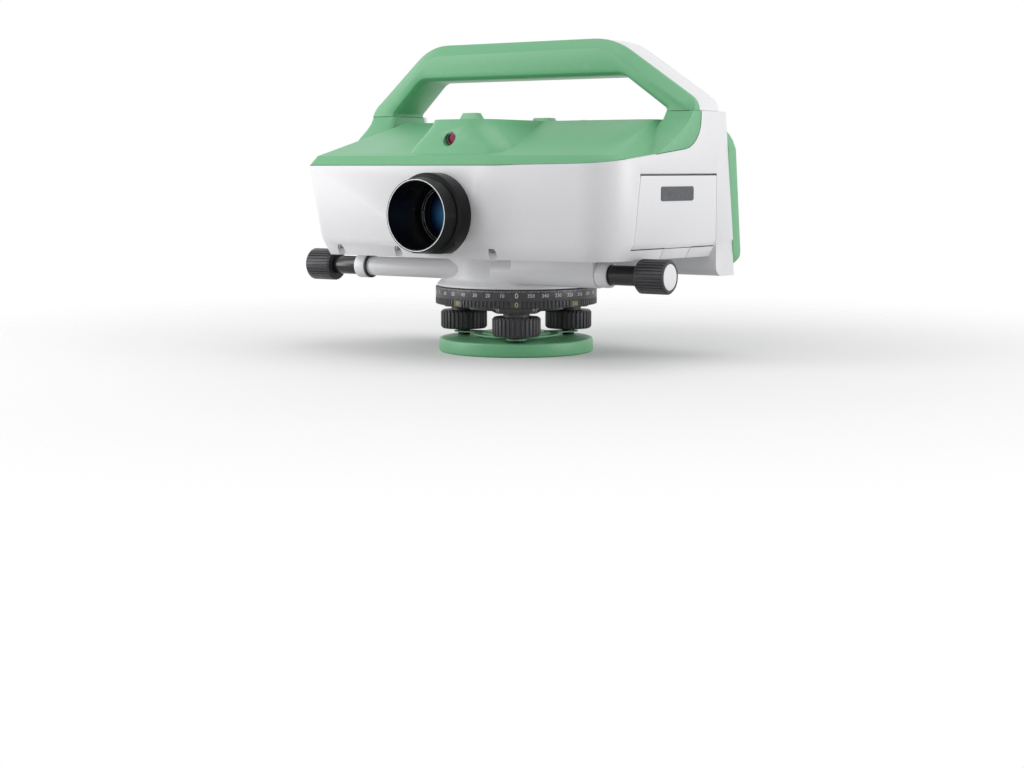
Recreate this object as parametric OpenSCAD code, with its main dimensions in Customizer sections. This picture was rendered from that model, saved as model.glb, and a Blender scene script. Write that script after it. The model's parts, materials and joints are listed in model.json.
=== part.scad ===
// Automatic level with a carrying handle, on a levelling base.
// Millimetres. Z is the vertical axis and the origin is under the base plate,
// at the mouth of the tripod thread. The objective looks along -Y.

/* [Base plate] */
// Radius of the base plate
base_r = 60; // [58:0.5:70]
// Thickness of the base plate
base_h = 10.5; // [9:0.5:14]
// Rounding of the base plate's edges
base_fillet = 1.6; // [0.5:0.1:3]
// Radius of the hub round the tripod thread
hub_r = 26; // [18:0.5:27]
// Height of the hub above the plate
hub_h = 4.5; // [2:0.5:6]
// Radius of the 5/8 inch tripod thread
thread_r = 7.94; // [6:0.01:9]

/* [Foot screws] */
// Radius of the circle that the foot screws stand on
foot_circle_r = 47.7; // [46.5:0.1:48.5]
// Turn of the levelling base under the telescope
tribrach_turn = 34.5; // [0:0.5:60]
// Radius of a foot screw's knob
foot_knob_r = 18.3; // [14:0.1:20]
// Height of a foot screw's knob
foot_knob_h = 14.5; // [10:0.5:18]
// Number of ribs on a foot screw's knob
foot_ribs = 32; // [16:1:40]
// Bare stem between base plate and knob
foot_gap = 5; // [4.5:0.5:8]
// Radius of the bare stem
foot_stem_r = 4.75; // [4:0.05:6]
// Depth of the stem's socket in the base plate
socket_depth = 6; // [4:0.5:8]
// Radius of the collar on the knob
collar_r = 10; // [7:0.5:12]
// Height of the collar on the knob
collar_h = 5.5; // [3:0.5:7]
// Radius of the thread above the collar
spindle_r = 4; // [3:0.1:5]
// Thickness of the spring plate
spring_t = 1; // [0.6:0.1:1.4]

/* [Tribrach and circle] */
// Gap between knob and tribrach arm
arm_gap = 3; // [2.5:0.1:5]
// Height of the tribrach's arms
arm_h = 4; // [3:0.1:6]
// Width of an arm
arm_w = 40; // [34:1:46]
// Reach of an arm from the vertical axis
arm_reach = 59; // [56:0.5:61]
// Radius of the tribrach's central hub
tribrach_hub_r = 36; // [30:0.5:37]
// Radius of a nut in an arm
nut_r = 7; // [6:0.1:8]
// Height of a nut
nut_h = 8; // [6:0.5:9]
// Radius of the horizontal circle
circle_r = 62.6; // [62:0.1:70]
// Height of the horizontal circle
circle_h = 13.5; // [12:0.5:18]
// Wall of the horizontal circle
circle_wall = 4.2; // [3:0.1:4.5]
// Thickness of the circle's inner flange
circle_flange = 3; // [2:0.1:4]
// Number of teeth on the circle's grip
circle_teeth = 120; // [60:2:180]

/* [Vertical axis and neck] */
// Radius of the vertical axle
axle_r = 12; // [9:0.1:13]
// Wall of the axis bush
bush_wall = 4; // [3:0.1:6]
// Radius of the neck's drum
neck_r = 57.5; // [56:0.5:60]
// Radius of the neck's skirt
skirt_r = 61.5; // [60:0.1:64]
// Height of the neck
neck_h = 24.5; // [24:0.5:30]
// Wall of the neck above the worm wheel
neck_roof = 5; // [3:0.5:6]

/* [Drive] */
// Distance of the drive shaft in front of the vertical axis
drive_y = 48; // [47.5:0.1:49]
// Height of the drive shaft above the neck's skirt
drive_rise = 13.7; // [13:0.1:15]
// Radius of the drive shaft
shaft_r = 4.5; // [3.5:0.1:5]
// Radius of the worm
worm_r = 6.4; // [5.5:0.1:6.8]
// Length of the worm
worm_len = 24; // [16:1:28]
// Number of teeth of the worm wheel
wheel_teeth = 90; // [60:1:120]
// Thickness of the worm wheel
wheel_h = 6; // [4:0.5:8]
// Radius of the drive tube
tube_r = 7.5; // [7:0.1:8]
// Radius of the drive housing
drive_house_r = 10; // [9.4:0.1:10.5]
// Radius of the end rings
end_ring_r = 9.4; // [9:0.1:11]
// Length of an end ring
end_ring_len = 10; // [8:0.5:14]
// Distance of an end ring's inner face from the vertical axis
end_ring_x = 106; // [100:0.5:110]
// Radius of the shaft's outer sleeves
sleeve_r = 7.2; // [6.5:0.1:7.4]
// Distance of a knob's inner face from the vertical axis
knob_x = 140; // [136:0.5:146]
// Radius of a drive knob
knob_r = 12.4; // [10:0.1:12.6]
// Length of a drive knob
knob_len = 24; // [18:0.5:28]
// Number of ribs on a drive knob
knob_ribs = 30; // [16:1:40]
// Radius of the white cap on a drive knob
knob_cap_r = 9.5; // [7:0.1:10]

/* [Housing] */
// Wall of the housing
wall = 3.5; // [2.5:0.1:4]
// Distance of the front wall from the vertical axis
front_y = 102; // [100:0.5:106]
// Distance of the front left corner from the telescope
left_front_x = 123; // [121:0.5:126]
// Distance of the left wall from the telescope
left_x = 151; // [149:0.5:153]
// Distance of the right wall's rear end from the telescope
right_x = 157; // [155:0.5:159]
// Place across of the right front corner, before rounding
corner_x = 139.3; // [138.5:0.1:140]
// Place back of the right front corner, before rounding
corner_y = 89.3; // [88:0.1:91]
// Rounding of the right front corner
corner_r = 32; // [26:0.5:36]
// Inward lean of the left wall down to the band
left_lean = 11.5; // [8:0.5:14]
// Height of the chamfered band round the bottom
band_h = 12.6; // [10:0.2:14]
// Depth of the chamfered band
band_in = 6.5; // [4:0.5:8]
// Height of the walls above the band
wall_h = 55; // [52:0.5:60]
// Height of the rear skirt below the housing
skirt_h = 15; // [10:0.5:16]
// Front of the rear skirt behind the vertical axis
skirt_y = 42; // [40:0.5:46]
// Rear wall's place at the bottom of the housing
rear_y = 64.4; // [63:0.2:68]
// Lean of the rear wall in degrees
rear_lean = 7.3; // [4:0.1:9]

/* [Top cover and handle] */
// Height of the bevel round the top cover
bevel_h = 7; // [5:0.5:9]
// Depth of the bevel round the top cover
bevel_in = 6; // [4:0.5:8]
// Height of the roof's ridge above the seam
ridge_h = 33.5; // [31:0.5:36]
// Place of the ridge behind the vertical axis
ridge_y = 0; // [-6:1:6]
// Wall of the top cover
cover_t = 3; // [2:0.1:4]
// Height of the handle's seam above the ridge
seam_h = 6; // [5:0.5:8]
// Clear height under the handle's bar, from the seam
loop_h = 27; // [25:0.5:32]
// Height of the handle's bar
bar_h = 28.5; // [26:0.5:32]
// Depth of the handle's bar
bar_d = 41.5; // [36:0.5:41.5]
// Front face of the handle behind the vertical axis
bar_y = 9; // [8:0.5:12]
// Width of a leg of the handle
leg_w = 25; // [23:0.5:28]
// Run of the handle's slope on the right
slope_right = 73; // [62:1:80]
// Run of the handle's slope on the left
slope_left = 55; // [46:1:62]
// Rounding of the bar's edges
bar_edge = 7; // [4:0.5:9]
// Height of the flat along the handle's upper front edge
grip_flat_h = 10; // [6:0.5:11]
// Depth of the flat along the handle's upper front edge
grip_flat_d = 8; // [5:0.5:9]
// Thickness of the white shell on the handle's ends
shell_t = 4; // [3:0.2:6]

/* [Battery door] */
// Front edge of the door at its top, before the vertical axis
door_front = 54; // [50:0.5:56]
// Forward lean of the door's front edge over its height
door_lean = 8; // [4:0.5:9]
// Rear edge of the door behind the vertical axis
door_rear = 40; // [36:0.5:41]
// Height of the door
door_h = 53; // [50:0.5:54]
// Gap between seam and door
door_drop = 6.5; // [5:0.5:8]
// Gap round the door
door_gap = 0.5; // [0.3:0.1:0.8]
// Radius of the door's hinge pin
pin_r = 1; // [0.8:0.1:1.2]
// Width of the latch
latch_w = 33; // [26:1:36]
// Thickness of the latch
latch_t = 3; // [2:0.1:3.5]
// Travel of the latch away from the wall
latch_travel = 2; // [1:0.5:3]
// Height of the battery
battery_h = 40; // [34:0.5:41]
// Length of the battery
battery_len = 76; // [60:1:78]
// Thickness of the battery
battery_t = 22; // [16:0.5:24]

/* [Telescope] */
// Height of the telescope above the bottom of the housing
axis_rise = 31.8; // [31:0.2:33]
// Outer radius of the objective hood
hood_r = 26.5; // [24:0.1:28]
// Wall of the objective hood
hood_wall = 1.6; // [1.2:0.1:2.4]
// Reach of the hood in front of the housing
hood_out = 25.7; // [18:0.1:30]
// Radius of the hood's collar
hood_collar_r = 30.5; // [29:0.1:31.5]
// Length of the hood's collar
hood_collar_len = 14; // [10:0.5:16]
// Growth of the hood's radius from its mouth to the collar
hood_flare = 1.2; // [0.4:0.1:1.6]
// Depth of the lens behind the mouth of the hood
hood_depth = 38; // [34:0.5:40]
// Radius of the objective lens
lens_r = 18.5; // [16:0.1:20]
// Thickness of the objective lens
lens_t = 6; // [4:0.5:8]
// Wall of the telescope tube
tube_wall = 2; // [1.5:0.1:3]
// Travel of the focusing lens each way
focus_travel = 9; // [5:0.5:9]
// Radius of the eyepiece ring
eyepiece_r = 17; // [14:0.2:18]
// Length of the eyepiece ring
eyepiece_len = 16; // [12:0.5:20]
// Radius of the focusing knob
focus_knob_r = 17; // [13:0.5:18]
// Length of the focusing knob
focus_knob_len = 18; // [12:0.5:20]
// Swing room of the pendulum
swing_gap = 0.8; // [0.6:0.1:1.2]

/* [Rear side] */
// Depth of the rear panel
panel_t = 12; // [9:0.5:14]
// Height of the rear panel
panel_h = 110; // [102:0.5:110]
// Width of the display
display_w = 92; // [80:1:96]
// Height of the display
display_h = 62; // [54:1:64]
// Width of the keypad
keypad_w = 74; // [66:1:78]
// Travel of a key
key_travel = 1; // [0.6:0.1:1.4]
// Radius of the round bubble level
level_r = 9; // [7:0.5:10]

/* [Hidden] */
$fn = 64;
// Gap of a piece pressed into its seat
seat = 0.02;
// Running clearance of a shaft
run = 0.05;
// Clearance between pieces that move past each other
free = 0.3;
// Room for the tilt between collar and nut
tilt_room = 2;
// Sideways room round a stem that the tilt needs
tilt_side = 0.9;
// Overshoot of a cutting tool
over = 1;

// Heights of the levelling base
z_stem0 = base_h - socket_depth;
z_knob0 = base_h + foot_gap;
z_knob1 = z_knob0 + foot_knob_h;
z_collar1 = z_knob1 + collar_h;
z_arm0 = z_knob1 + arm_gap;
z_arm1 = z_arm0 + arm_h;
z_nut0 = z_collar1 + tilt_room;
z_nut1 = z_nut0 + nut_h;
z_circle0 = z_arm1 + free;
z_circle1 = z_circle0 + circle_h;
z_flange = z_circle1 - circle_flange;
// Wall round a nut
boss_r = nut_r + 2;
bush_r = axle_r + run + bush_wall;
// Seat of the worm wheel on the bush
bush_seat_r = bush_r + 4;

// Heights of the neck and the drive
z_neck0 = z_circle1 + free;
z_drive = z_neck0 + drive_rise;
z_body0 = z_neck0 + neck_h;
z_roof0 = z_body0 - neck_roof;
z_wheel0 = z_drive - wheel_h / 2;
z_wheel1 = z_drive + wheel_h / 2;
wheel_r = drive_y - worm_r - free;
cavity_r = wheel_r + over;
drive_bore = shaft_r + 1;
// Inner end of the drive tube
tube_x0 = worm_len / 2 + 4;

// Unit vector of a plane vector
function unit(v) = v / norm(v);
// Corner p between a and b, rounded by r in n steps
function corner(a, p, b, r, n) =
    r <= 0 ? [p] :
    let (u = unit(a - p), v = unit(b - p), half = acos(u * v) / 2,
         c = p + unit(u + v) * r / sin(half),
         s = p + u * r / tan(half) - c, e = p + v * r / tan(half) - c,
         a0 = atan2(s[1], s[0]), d = atan2(e[1], e[0]) - a0,
         sweep = d > 180 ? d - 360 : d < -180 ? d + 360 : d)
    [for (i = [0:n]) c + r * [cos(a0 + sweep * i / n), sin(a0 + sweep * i / n)]];
// Outline with each corner rounded by its own radius
function rounded(pts, radii, n = 6) =
    let (m = len(pts))
    [for (i = [0:m - 1]) each corner(pts[(i + m - 1) % m], pts[i], pts[(i + 1) % m], radii[i], n)];
// Inward normal of an edge of an anticlockwise outline
function inward(a, b) = let (u = unit(b - a)) [-u[1], u[0]];
// Anticlockwise outline moved inwards by d
function inset(pts, d) =
    let (m = len(pts))
    [for (i = [0:m - 1])
        let (p = pts[i], n1 = inward(pts[(i + m - 1) % m], p), n2 = inward(p, pts[(i + 1) % m]))
        p + d * (n1 + n2) / (1 + n1 * n2)];
// Radii of a rounded outline that has moved inwards by d
function inset_radii(radii, d) = [for (r = radii) max(r - d, 0.5)];

// Points of a circle with n square ribs
function ribs(r, n, depth) =
    [for (i = [0:n - 1], k = [[0.04, 1], [0.42, 1], [0.54, 0], [0.92, 0]])
        (r - (1 - k[1]) * depth) * [cos(360 * (i + k[0]) / n), sin(360 * (i + k[0]) / n)]];

// Ribbed round knob with bevelled ends, from z = 0 up
module ribbed_knob(r, h, n, bevel = 1.5, depth = 1.1) {
    intersection() {
        linear_extrude(h) polygon(ribs(r, n, depth));
        rotate_extrude()
            polygon([[0, 0], [r - bevel, 0], [r, bevel], [r, h - bevel], [r - bevel, h], [0, h]]);
    }
}

// Bar of a round section along X, from x0 to x1
module bar_x(r, x0, x1) {
    translate([x0, 0, 0]) rotate([0, 90, 0]) cylinder(r = r, h = x1 - x0);
}

// Bar of a round section along Y, from y0 to y1
module bar_y(r, y0, y1) {
    translate([0, y0, 0]) rotate([-90, 0, 0]) cylinder(r = r, h = y1 - y0);
}

// Block between two corners
module block(a, b) {
    translate(a) cube(b - a);
}

// Profile given in Y and Z, drawn out along X
module along_x(pts, x0, x1) {
    translate([x0, 0, 0]) rotate([90, 0, 90]) linear_extrude(x1 - x0) polygon(pts);
}

// Profile given in X and Z, drawn out along Y
module along_y(pts, y0, y1) {
    translate([0, y1, 0]) rotate([90, 0, 0]) linear_extrude(y1 - y0) polygon(pts);
}

// Closed skin over a row of rings with the same number of points
module skin(rings) {
    m = len(rings);
    n = len(rings[0]);
    points = [for (r = rings) each r];
    sides = [for (k = [0:m - 2], i = [0:n - 1])
        let (a = k * n + i, b = k * n + (i + 1) % n) each [[a, b, b + n], [a, b + n, a + n]]];
    first = [for (i = [n - 1:-1:0]) i];
    last = [for (i = [0:n - 1]) (m - 1) * n + i];
    polyhedron(points, concat([first], sides, [last]));
}

// Place of one of the three foot screws
module foot_at(i) {
    rotate([0, 0, tribrach_turn - 90 + 120 * i]) translate([foot_circle_r, 0, 0]) children();
}

// Place of the drive shaft
module drive_at() {
    translate([0, -drive_y, z_drive]) children();
}

module base_plate() {
    f = base_fillet;
    color("mediumseagreen") difference() {
        rotate_extrude($fn = 96)
            polygon(rounded([[thread_r, 0], [base_r, 0], [base_r, base_h], [hub_r, base_h],
                             [hub_r, base_h + hub_h], [thread_r, base_h + hub_h]],
                            [0, f, f, 0, f, 0], 4));
        for (i = [0:2]) foot_at(i) translate([0, 0, z_stem0]) cylinder(r = foot_stem_r + run, h = base_h);
    }
}

module foot_spindle(i) {
    color("silver") foot_at(i) {
        translate([0, 0, z_stem0]) cylinder(r = foot_stem_r, h = z_knob1 - z_stem0);
        translate([0, 0, z_knob1]) cylinder(r = spindle_r, h = z_nut1 - z_knob1);
    }
}

module foot_knob(i) {
    color([0.12, 0.12, 0.12]) foot_at(i) difference() {
        union() {
            translate([0, 0, z_knob0]) ribbed_knob(foot_knob_r, foot_knob_h, foot_ribs);
            translate([0, 0, z_knob0 + foot_knob_h / 2])
                cylinder(r = collar_r, h = foot_knob_h / 2 + collar_h);
        }
        translate([0, 0, z_knob0 - over]) cylinder(r = foot_stem_r + seat, h = foot_knob_h + over);
        translate([0, 0, z_knob0]) cylinder(r = spindle_r + seat, h = foot_knob_h + collar_h + over);
    }
}

module foot_spindle_front() { foot_spindle(0); }
module foot_spindle_right() { foot_spindle(1); }
module foot_spindle_left() { foot_spindle(2); }
module foot_knob_front() { foot_knob(0); }
module foot_knob_right() { foot_knob(1); }
module foot_knob_left() { foot_knob(2); }

module spring_plate() {
    ring_in = hub_r + 1.5;
    ring_out = ring_in + 6;
    lobe_r = foot_stem_r + 3;
    color("dimgray") translate([0, 0, (base_h + z_knob0 - spring_t) / 2]) difference() {
        union() {
            cylinder(r = ring_out, h = spring_t);
            for (i = [0:2]) {
                foot_at(i) cylinder(r = lobe_r, h = spring_t);
                foot_at(i) translate([-foot_circle_r + ring_in + 1, -lobe_r, 0])
                    cube([foot_circle_r - ring_in, 2 * lobe_r, spring_t]);
            }
        }
        translate([0, 0, -over]) cylinder(r = ring_in, h = spring_t + 2 * over);
        for (i = [0:2])
            foot_at(i) translate([0, 0, -over])
                cylinder(r = foot_stem_r + tilt_side, h = spring_t + 2 * over);
    }
}

module tribrach() {
    arm_end = arm_w * 0.72;
    arm_root = tribrach_hub_r * 0.7;
    color([0.1, 0.1, 0.1]) difference() {
        union() {
            translate([0, 0, z_arm0]) cylinder(r = tribrach_hub_r + 2, h = z_flange - z_arm0);
            translate([0, 0, z_arm0]) cylinder(r = tribrach_hub_r, h = z_circle1 - z_arm0);
            for (i = [0:2]) foot_at(i) {
                translate([-foot_circle_r, 0, z_arm0]) linear_extrude(arm_h)
                    polygon(rounded([[arm_root, -arm_w / 2], [arm_reach, -arm_end / 2],
                                     [arm_reach, arm_end / 2], [arm_root, arm_w / 2]], [0, 6, 6, 0]));
                translate([0, 0, z_arm0]) cylinder(r = boss_r, h = z_nut1 - z_arm0);
                translate([-foot_circle_r / 2, over - boss_r, z_arm0])
                    cube([foot_circle_r / 2, 2 * (boss_r - over), z_nut1 - z_arm0]);
            }
        }
        translate([0, 0, z_arm0 - over]) cylinder(r = bush_r + seat, h = z_circle1);
        for (i = [0:2]) foot_at(i) {
            translate([0, 0, z_arm0 - over]) cylinder(r = collar_r + tilt_side, h = z_nut0 - z_arm0 + over);
            translate([0, 0, z_arm0]) cylinder(r = nut_r + seat, h = z_nut1);
        }
    }
}

module foot_nuts() {
    color("goldenrod") for (i = [0:2]) foot_at(i) translate([0, 0, z_nut0]) difference() {
        cylinder(r = nut_r, h = nut_h);
        translate([0, 0, -over]) cylinder(r = spindle_r + free, h = nut_h + 2 * over);
    }
}

module axis_bush() {
    color("silver") difference() {
        union() {
            translate([0, 0, z_arm0]) cylinder(r = bush_r, h = z_wheel1 - z_arm0);
            translate([0, 0, z_circle1]) cylinder(r = bush_seat_r, h = z_wheel0 - z_circle1);
        }
        translate([0, 0, z_arm0 - over]) cylinder(r = axle_r + run, h = z_wheel1);
    }
}

module horizontal_circle() {
    grip_h = circle_h * 0.36;
    inner = circle_r - circle_wall;
    color([0.08, 0.08, 0.08]) difference() {
        union() {
            translate([0, 0, z_circle0 + grip_h])
                rotate_extrude($fn = 128)
                    polygon(rounded([[inner - over, 0], [circle_r, 0], [circle_r, circle_h - grip_h],
                                     [inner - over, circle_h - grip_h]], [0, 0.3, 0.8, 0], 3));
            translate([0, 0, z_circle0]) linear_extrude(grip_h)
                polygon(ribs(circle_r - 0.2, circle_teeth, 0.8));
            translate([0, 0, z_flange]) cylinder(r = inner, h = circle_flange);
        }
        translate([0, 0, z_circle0 - over]) cylinder(r = inner, h = z_flange - z_circle0 + over, $fn = 128);
        translate([0, 0, z_circle0]) cylinder(r = tribrach_hub_r + 0.1, h = circle_h + over, $fn = 128);
    }
}

module worm_wheel() {
    color("goldenrod") translate([0, 0, z_wheel0]) difference() {
        linear_extrude(wheel_h) polygon(ribs(wheel_r, wheel_teeth, 1));
        translate([0, 0, -over]) cylinder(r = bush_r + run, h = wheel_h + 2 * over);
    }
}

module vertical_axle() {
    color("silver") {
        translate([0, 0, z_arm0]) cylinder(r = axle_r, h = z_roof0 - z_arm0);
        translate([0, 0, z_wheel1 + free]) cylinder(r = bush_seat_r + 8, h = z_roof0 - z_wheel1 - free);
    }
}

module neck() {
    color("whitesmoke") difference() {
        union() {
            rotate_extrude($fn = 128)
                polygon(rounded([[0, z_neck0], [skirt_r, z_neck0], [skirt_r, z_neck0 + 1.5],
                                 [neck_r, z_neck0 + 5], [neck_r, z_body0], [0, z_body0]],
                                [0, 0.5, 1, 5, 0, 0], 4));
            drive_at() bar_x(drive_house_r, tube_x0, end_ring_x);
            block([neck_r * 0.6, -drive_y - drive_house_r, z_drive],
                  [end_ring_x, -drive_y + drive_house_r, z_body0]);
        }
        translate([0, 0, z_neck0 - over]) cylinder(r = cavity_r, h = z_roof0 - z_neck0 + over);
        drive_at() bar_x(worm_r + free, -tube_x0, tube_x0);
        drive_at() bar_x(tube_r + seat, -end_ring_x, -tube_x0);
        drive_at() bar_x(drive_bore, tube_x0 - over, end_ring_x + over);
    }
}

module drive_tube() {
    color("whitesmoke") drive_at() difference() {
        bar_x(tube_r, -end_ring_x, -tube_x0);
        bar_x(drive_bore, -end_ring_x - over, 0);
    }
}

module drive_end_rings() {
    step = end_ring_len * 0.4;
    color("whitesmoke") drive_at() for (s = [0, 1]) mirror([s, 0, 0]) difference() {
        bar_x(end_ring_r, end_ring_x, end_ring_x + end_ring_len);
        bar_x(drive_bore, end_ring_x - over, end_ring_x + end_ring_len);
        bar_x(sleeve_r + run, end_ring_x + step, end_ring_x + end_ring_len + over);
    }
}

module drive_bushes() {
    bush_len = 10;
    color("goldenrod") drive_at() for (s = [0, 1]) mirror([s, 0, 0]) difference() {
        bar_x(drive_bore - seat, end_ring_x - bush_len, end_ring_x);
        bar_x(shaft_r + run, end_ring_x - bush_len - over, end_ring_x + over);
    }
}

module drive_shaft() {
    shaft_end = knob_x + knob_len * 0.7;
    color([0.1, 0.1, 0.1]) drive_at() {
        bar_x(shaft_r, -shaft_end, shaft_end);
        bar_x(worm_r, -worm_len / 2, worm_len / 2);
        for (s = [0, 1]) mirror([s, 0, 0]) bar_x(sleeve_r, end_ring_x + end_ring_len * 0.5, knob_x);
    }
}

// Drive knob on the side given by 0 for the right and 1 for the left
module drive_knob(side) {
    color([0.1, 0.1, 0.1]) drive_at() mirror([side, 0, 0]) difference() {
        translate([knob_x, 0, 0]) rotate([0, 90, 0]) ribbed_knob(knob_r, knob_len, knob_ribs);
        bar_x(shaft_r + seat, knob_x - over, knob_x + knob_len * 0.7);
        bar_x(knob_cap_r + seat, knob_x + knob_len - 2, knob_x + knob_len + over);
    }
}

module drive_knob_right() { drive_knob(0); }
module drive_knob_left() { drive_knob(1); }

module drive_knob_caps() {
    color("whitesmoke") drive_at() for (s = [0, 1]) mirror([s, 0, 0])
        bar_x(knob_cap_r, knob_x + knob_len - 2, knob_x + knob_len);
}

// Heights of the housing and the handle
z_band = z_body0 + band_h;
z_seam = z_band + wall_h;
z_bevel = z_seam + bevel_h;
z_ridge = z_seam + ridge_h;
z_handle = z_ridge + seam_h;
z_loop = z_handle + loop_h;
z_top = z_loop + bar_h;
z_axis = z_body0 + axis_rise;
// End of the straight front wall
front_x1 = 45;
// Thickness of a slice that a loft starts or ends with
slice_t = 0.01;

// Place of the rear wall at height z
function rear_at(z) = rear_y - (z - z_body0) * tan(rear_lean);
// Outline of the housing, with its left side leaning in, anticlockwise
function plan(lean = 0) =
    [[-left_front_x + lean, -front_y], [front_x1, -front_y], [corner_x, -corner_y],
     [right_x, rear_y + skirt_h], [-left_x, rear_y + skirt_h], [-left_x + 1 + lean / 2, 0]];
plan_radii = [6, 120, corner_r, 8, 8, 60];
// Place of the right wall at y
function right_wall(y) = corner_x + (right_x - corner_x) * (y + corner_y) / (rear_y + skirt_h + corner_y);

module plan_shape(d = 0, lean = 0) {
    polygon(rounded(inset(plan(lean), d), inset_radii(plan_radii, d)));
}

// Ring of the housing's outline at height z, moved inwards by d
function plan_ring(z, d, lean) =
    [for (p = rounded(inset(plan(lean), d), inset_radii(plan_radii, d))) [p[0], p[1], z]];

// Form of the lower housing up to height top, moved inwards by d
module housing_form(d, top = z_seam) {
    skin([plan_ring(max(top, z_seam + over), d, 0), plan_ring(z_seam, d, 0),
          plan_ring(z_band, d, left_lean), plan_ring(z_body0 + d, band_in + d, left_lean)]);
}

// Everything in front of the rear wall, moved inwards by d
module before_rear(d) {
    low = z_body0 - skirt_h - over;
    along_x([[-2 * front_y, low], [rear_at(low) - d, low],
             [rear_at(z_top) - d, z_top], [-2 * front_y, z_top]],
            -2 * left_x, 2 * left_x);
}

// Side view of the white walls' upper edge, rising to the handle at the rear
horn_y = bar_y + 10;
module below_cover() {
    low = z_body0 - skirt_h - over;
    along_x(rounded([[-2 * front_y, low], [2 * rear_y, low], [2 * rear_y, z_handle], [horn_y, z_handle],
                     [horn_y, z_seam + 14], [-front_y + over, z_seam], [-2 * front_y, z_seam]],
                    [0, 0, 0, 0, 22, 0, 0]), -2 * left_x, 2 * left_x);
}

// Heights and ends of the battery door
z_door1 = z_seam - door_drop;
z_door0 = z_door1 - door_h;
// Direction of the right wall, in degrees from Y towards X
wall_turn = atan((right_x - corner_x) / (rear_y + skirt_h + corner_y));
// Thickness of the door's panel and radius of its hinge barrel
door_t = wall;
barrel_r = pin_r + 1.3;
// Depth of the battery compartment behind the door
bay_d = battery_t + 5;

// Frame on the right wall: x outwards, y to the rear, at the height of the vertical axis
module wall_at() {
    translate([right_wall(0), 0, 0]) rotate([0, 0, -wall_turn]) children();
}

// Door's outline pushed through the wall, grown by g
module door_prism(g) {
    wall_at() along_x([[-door_front - door_lean - g, z_door0 - g], [door_rear + g, z_door0 - g],
                       [door_rear + g, z_door1 + g], [-door_front - g, z_door1 + g]], -bay_d, 2 * door_t);
}

// Place of the door's hinge pin
module hinge_at() {
    wall_at() translate([-barrel_r, 0, z_door1 - barrel_r]) children();
}

module battery_bay(g) {
    wall_at() block([-bay_d - wall - g, -door_front - door_lean - wall - g, z_door0 - wall - g],
                    [-wall, door_rear + wall + g, z_door1 + wall + g]);
}

// Skirt below the housing's rear, with a rounded front
module rear_skirt() {
    intersection() {
        translate([0, 0, z_body0 - skirt_h]) linear_extrude(skirt_h + band_h) plan_shape(over);
        along_x(rounded([[skirt_y, z_body0 - skirt_h], [2 * rear_y, z_body0 - skirt_h],
                         [2 * rear_y, z_band], [skirt_y, z_band]], [8, 0, 0, 0]), -2 * left_x, 2 * left_x);
    }
}

module lower_housing() {
    color("whitesmoke") difference() {
        union() {
            intersection() {
                difference() {
                    union() {
                        housing_form(0, z_handle);
                        rear_skirt();
                    }
                    intersection() {
                        housing_form(wall, z_top);
                        before_rear(wall);
                    }
                }
                below_cover();
                before_rear(0);
            }
            intersection() {
                scope_at() bar_y(hood_collar_r, -front_y, -front_y + band_in + wall, $fn = 96);
                block([-hood_collar_r, -front_y, z_body0], [hood_collar_r, 0, z_band]);
            }
            intersection() {
                union() {
                    battery_bay(0);
                    for (p = screw_places) translate([p[0], p[1], z_body0]) cylinder(r = post_r, h = wall_h);
                }
                housing_form(wall / 2);
            }
        }
        wall_at() block([-bay_d, -door_front, z_door0 + door_gap], [0, door_rear, z_door1 - 2 * barrel_r]);
        door_prism_cut();
        hinge_at() bar_y(pin_r + seat, -door_front - 5, door_rear + 5);
        translate([0, 0, z_axis]) {
            bar_y(objective_seat_r + seat, -front_y - over, 0);
            bar_y(eyepiece_tube_r + seat, 0, 2 * rear_y);
        }
        focus_at() bar_x(focus_shaft_r + run, -left_x - over, 0);
        measure_at() bar_x(measure_r + free, -measure_len, 4 * measure_len);
        block([-handle_left + leg_w, 0, z_ridge], [handle_right - leg_w, 2 * rear_y, z_top]);
        translate([0, 0, z_body0 - skirt_h - over])
            cylinder(r = neck_r + free, h = skirt_h + over, $fn = 128);
        for (p = screw_places) translate([p[0], p[1], z_body0]) {
            translate([0, 0, -over]) cylinder(r = screw_head_r + free, h = screw_sink + over);
            cylinder(r = screw_r + seat, h = screw_sink + screw_len);
        }
    }
}

// Opening for the door, its barrel and the latch
module door_prism_cut() {
    intersection() {
        door_prism(door_gap);
        wall_at() {
            block([-door_t - door_gap, -2 * front_y, 0], [2 * door_t, 2 * front_y, z_top]);
            block([-door_t - band_in, -2 * front_y, 0], [2 * door_t, 2 * front_y, z_band + door_t]);
        }
    }
    hinge_at() bar_y(barrel_r + door_gap, -door_front - door_gap, door_rear + door_gap);
    hinge_at() block([0, -door_front - door_lean * 2 * barrel_r / door_h - door_gap, 0],
                     [2 * door_t, door_rear + door_gap, barrel_r + door_gap]);
    wall_at() block([-door_t - band_in - over, -latch_y - latch_w / 2 - door_gap, z_body0 - over],
                    [2 * door_t, -latch_y + latch_w / 2 + door_gap, z_door0 + over]);
}

// Middle of the latch before the vertical axis, a little behind the middle of the door
latch_back = 5;
latch_y = (door_front + door_lean - door_rear) / 2 - latch_back;

module battery_door() {
    color("whitesmoke") difference() {
        union() {
            intersection() {
                difference() {
                    housing_form(0);
                    housing_form(door_t);
                }
                door_prism(0);
                wall_at() block([-bay_d, -2 * front_y, 0], [2 * door_t, 2 * front_y, z_door1 - barrel_r]);
            }
            hinge_at() bar_y(barrel_r, -door_front, door_rear);
            hinge_at()
                block([-door_t + barrel_r, -door_front, -2 * barrel_r], [barrel_r - 0.6, door_rear, 0]);
        }
        hinge_at() bar_y(pin_r + run, -door_front - over, door_rear + over);
    }
}

module door_hinge_pin() {
    color("silver") hinge_at() bar_y(pin_r, -door_front - 4, door_rear + 4);
}

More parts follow.
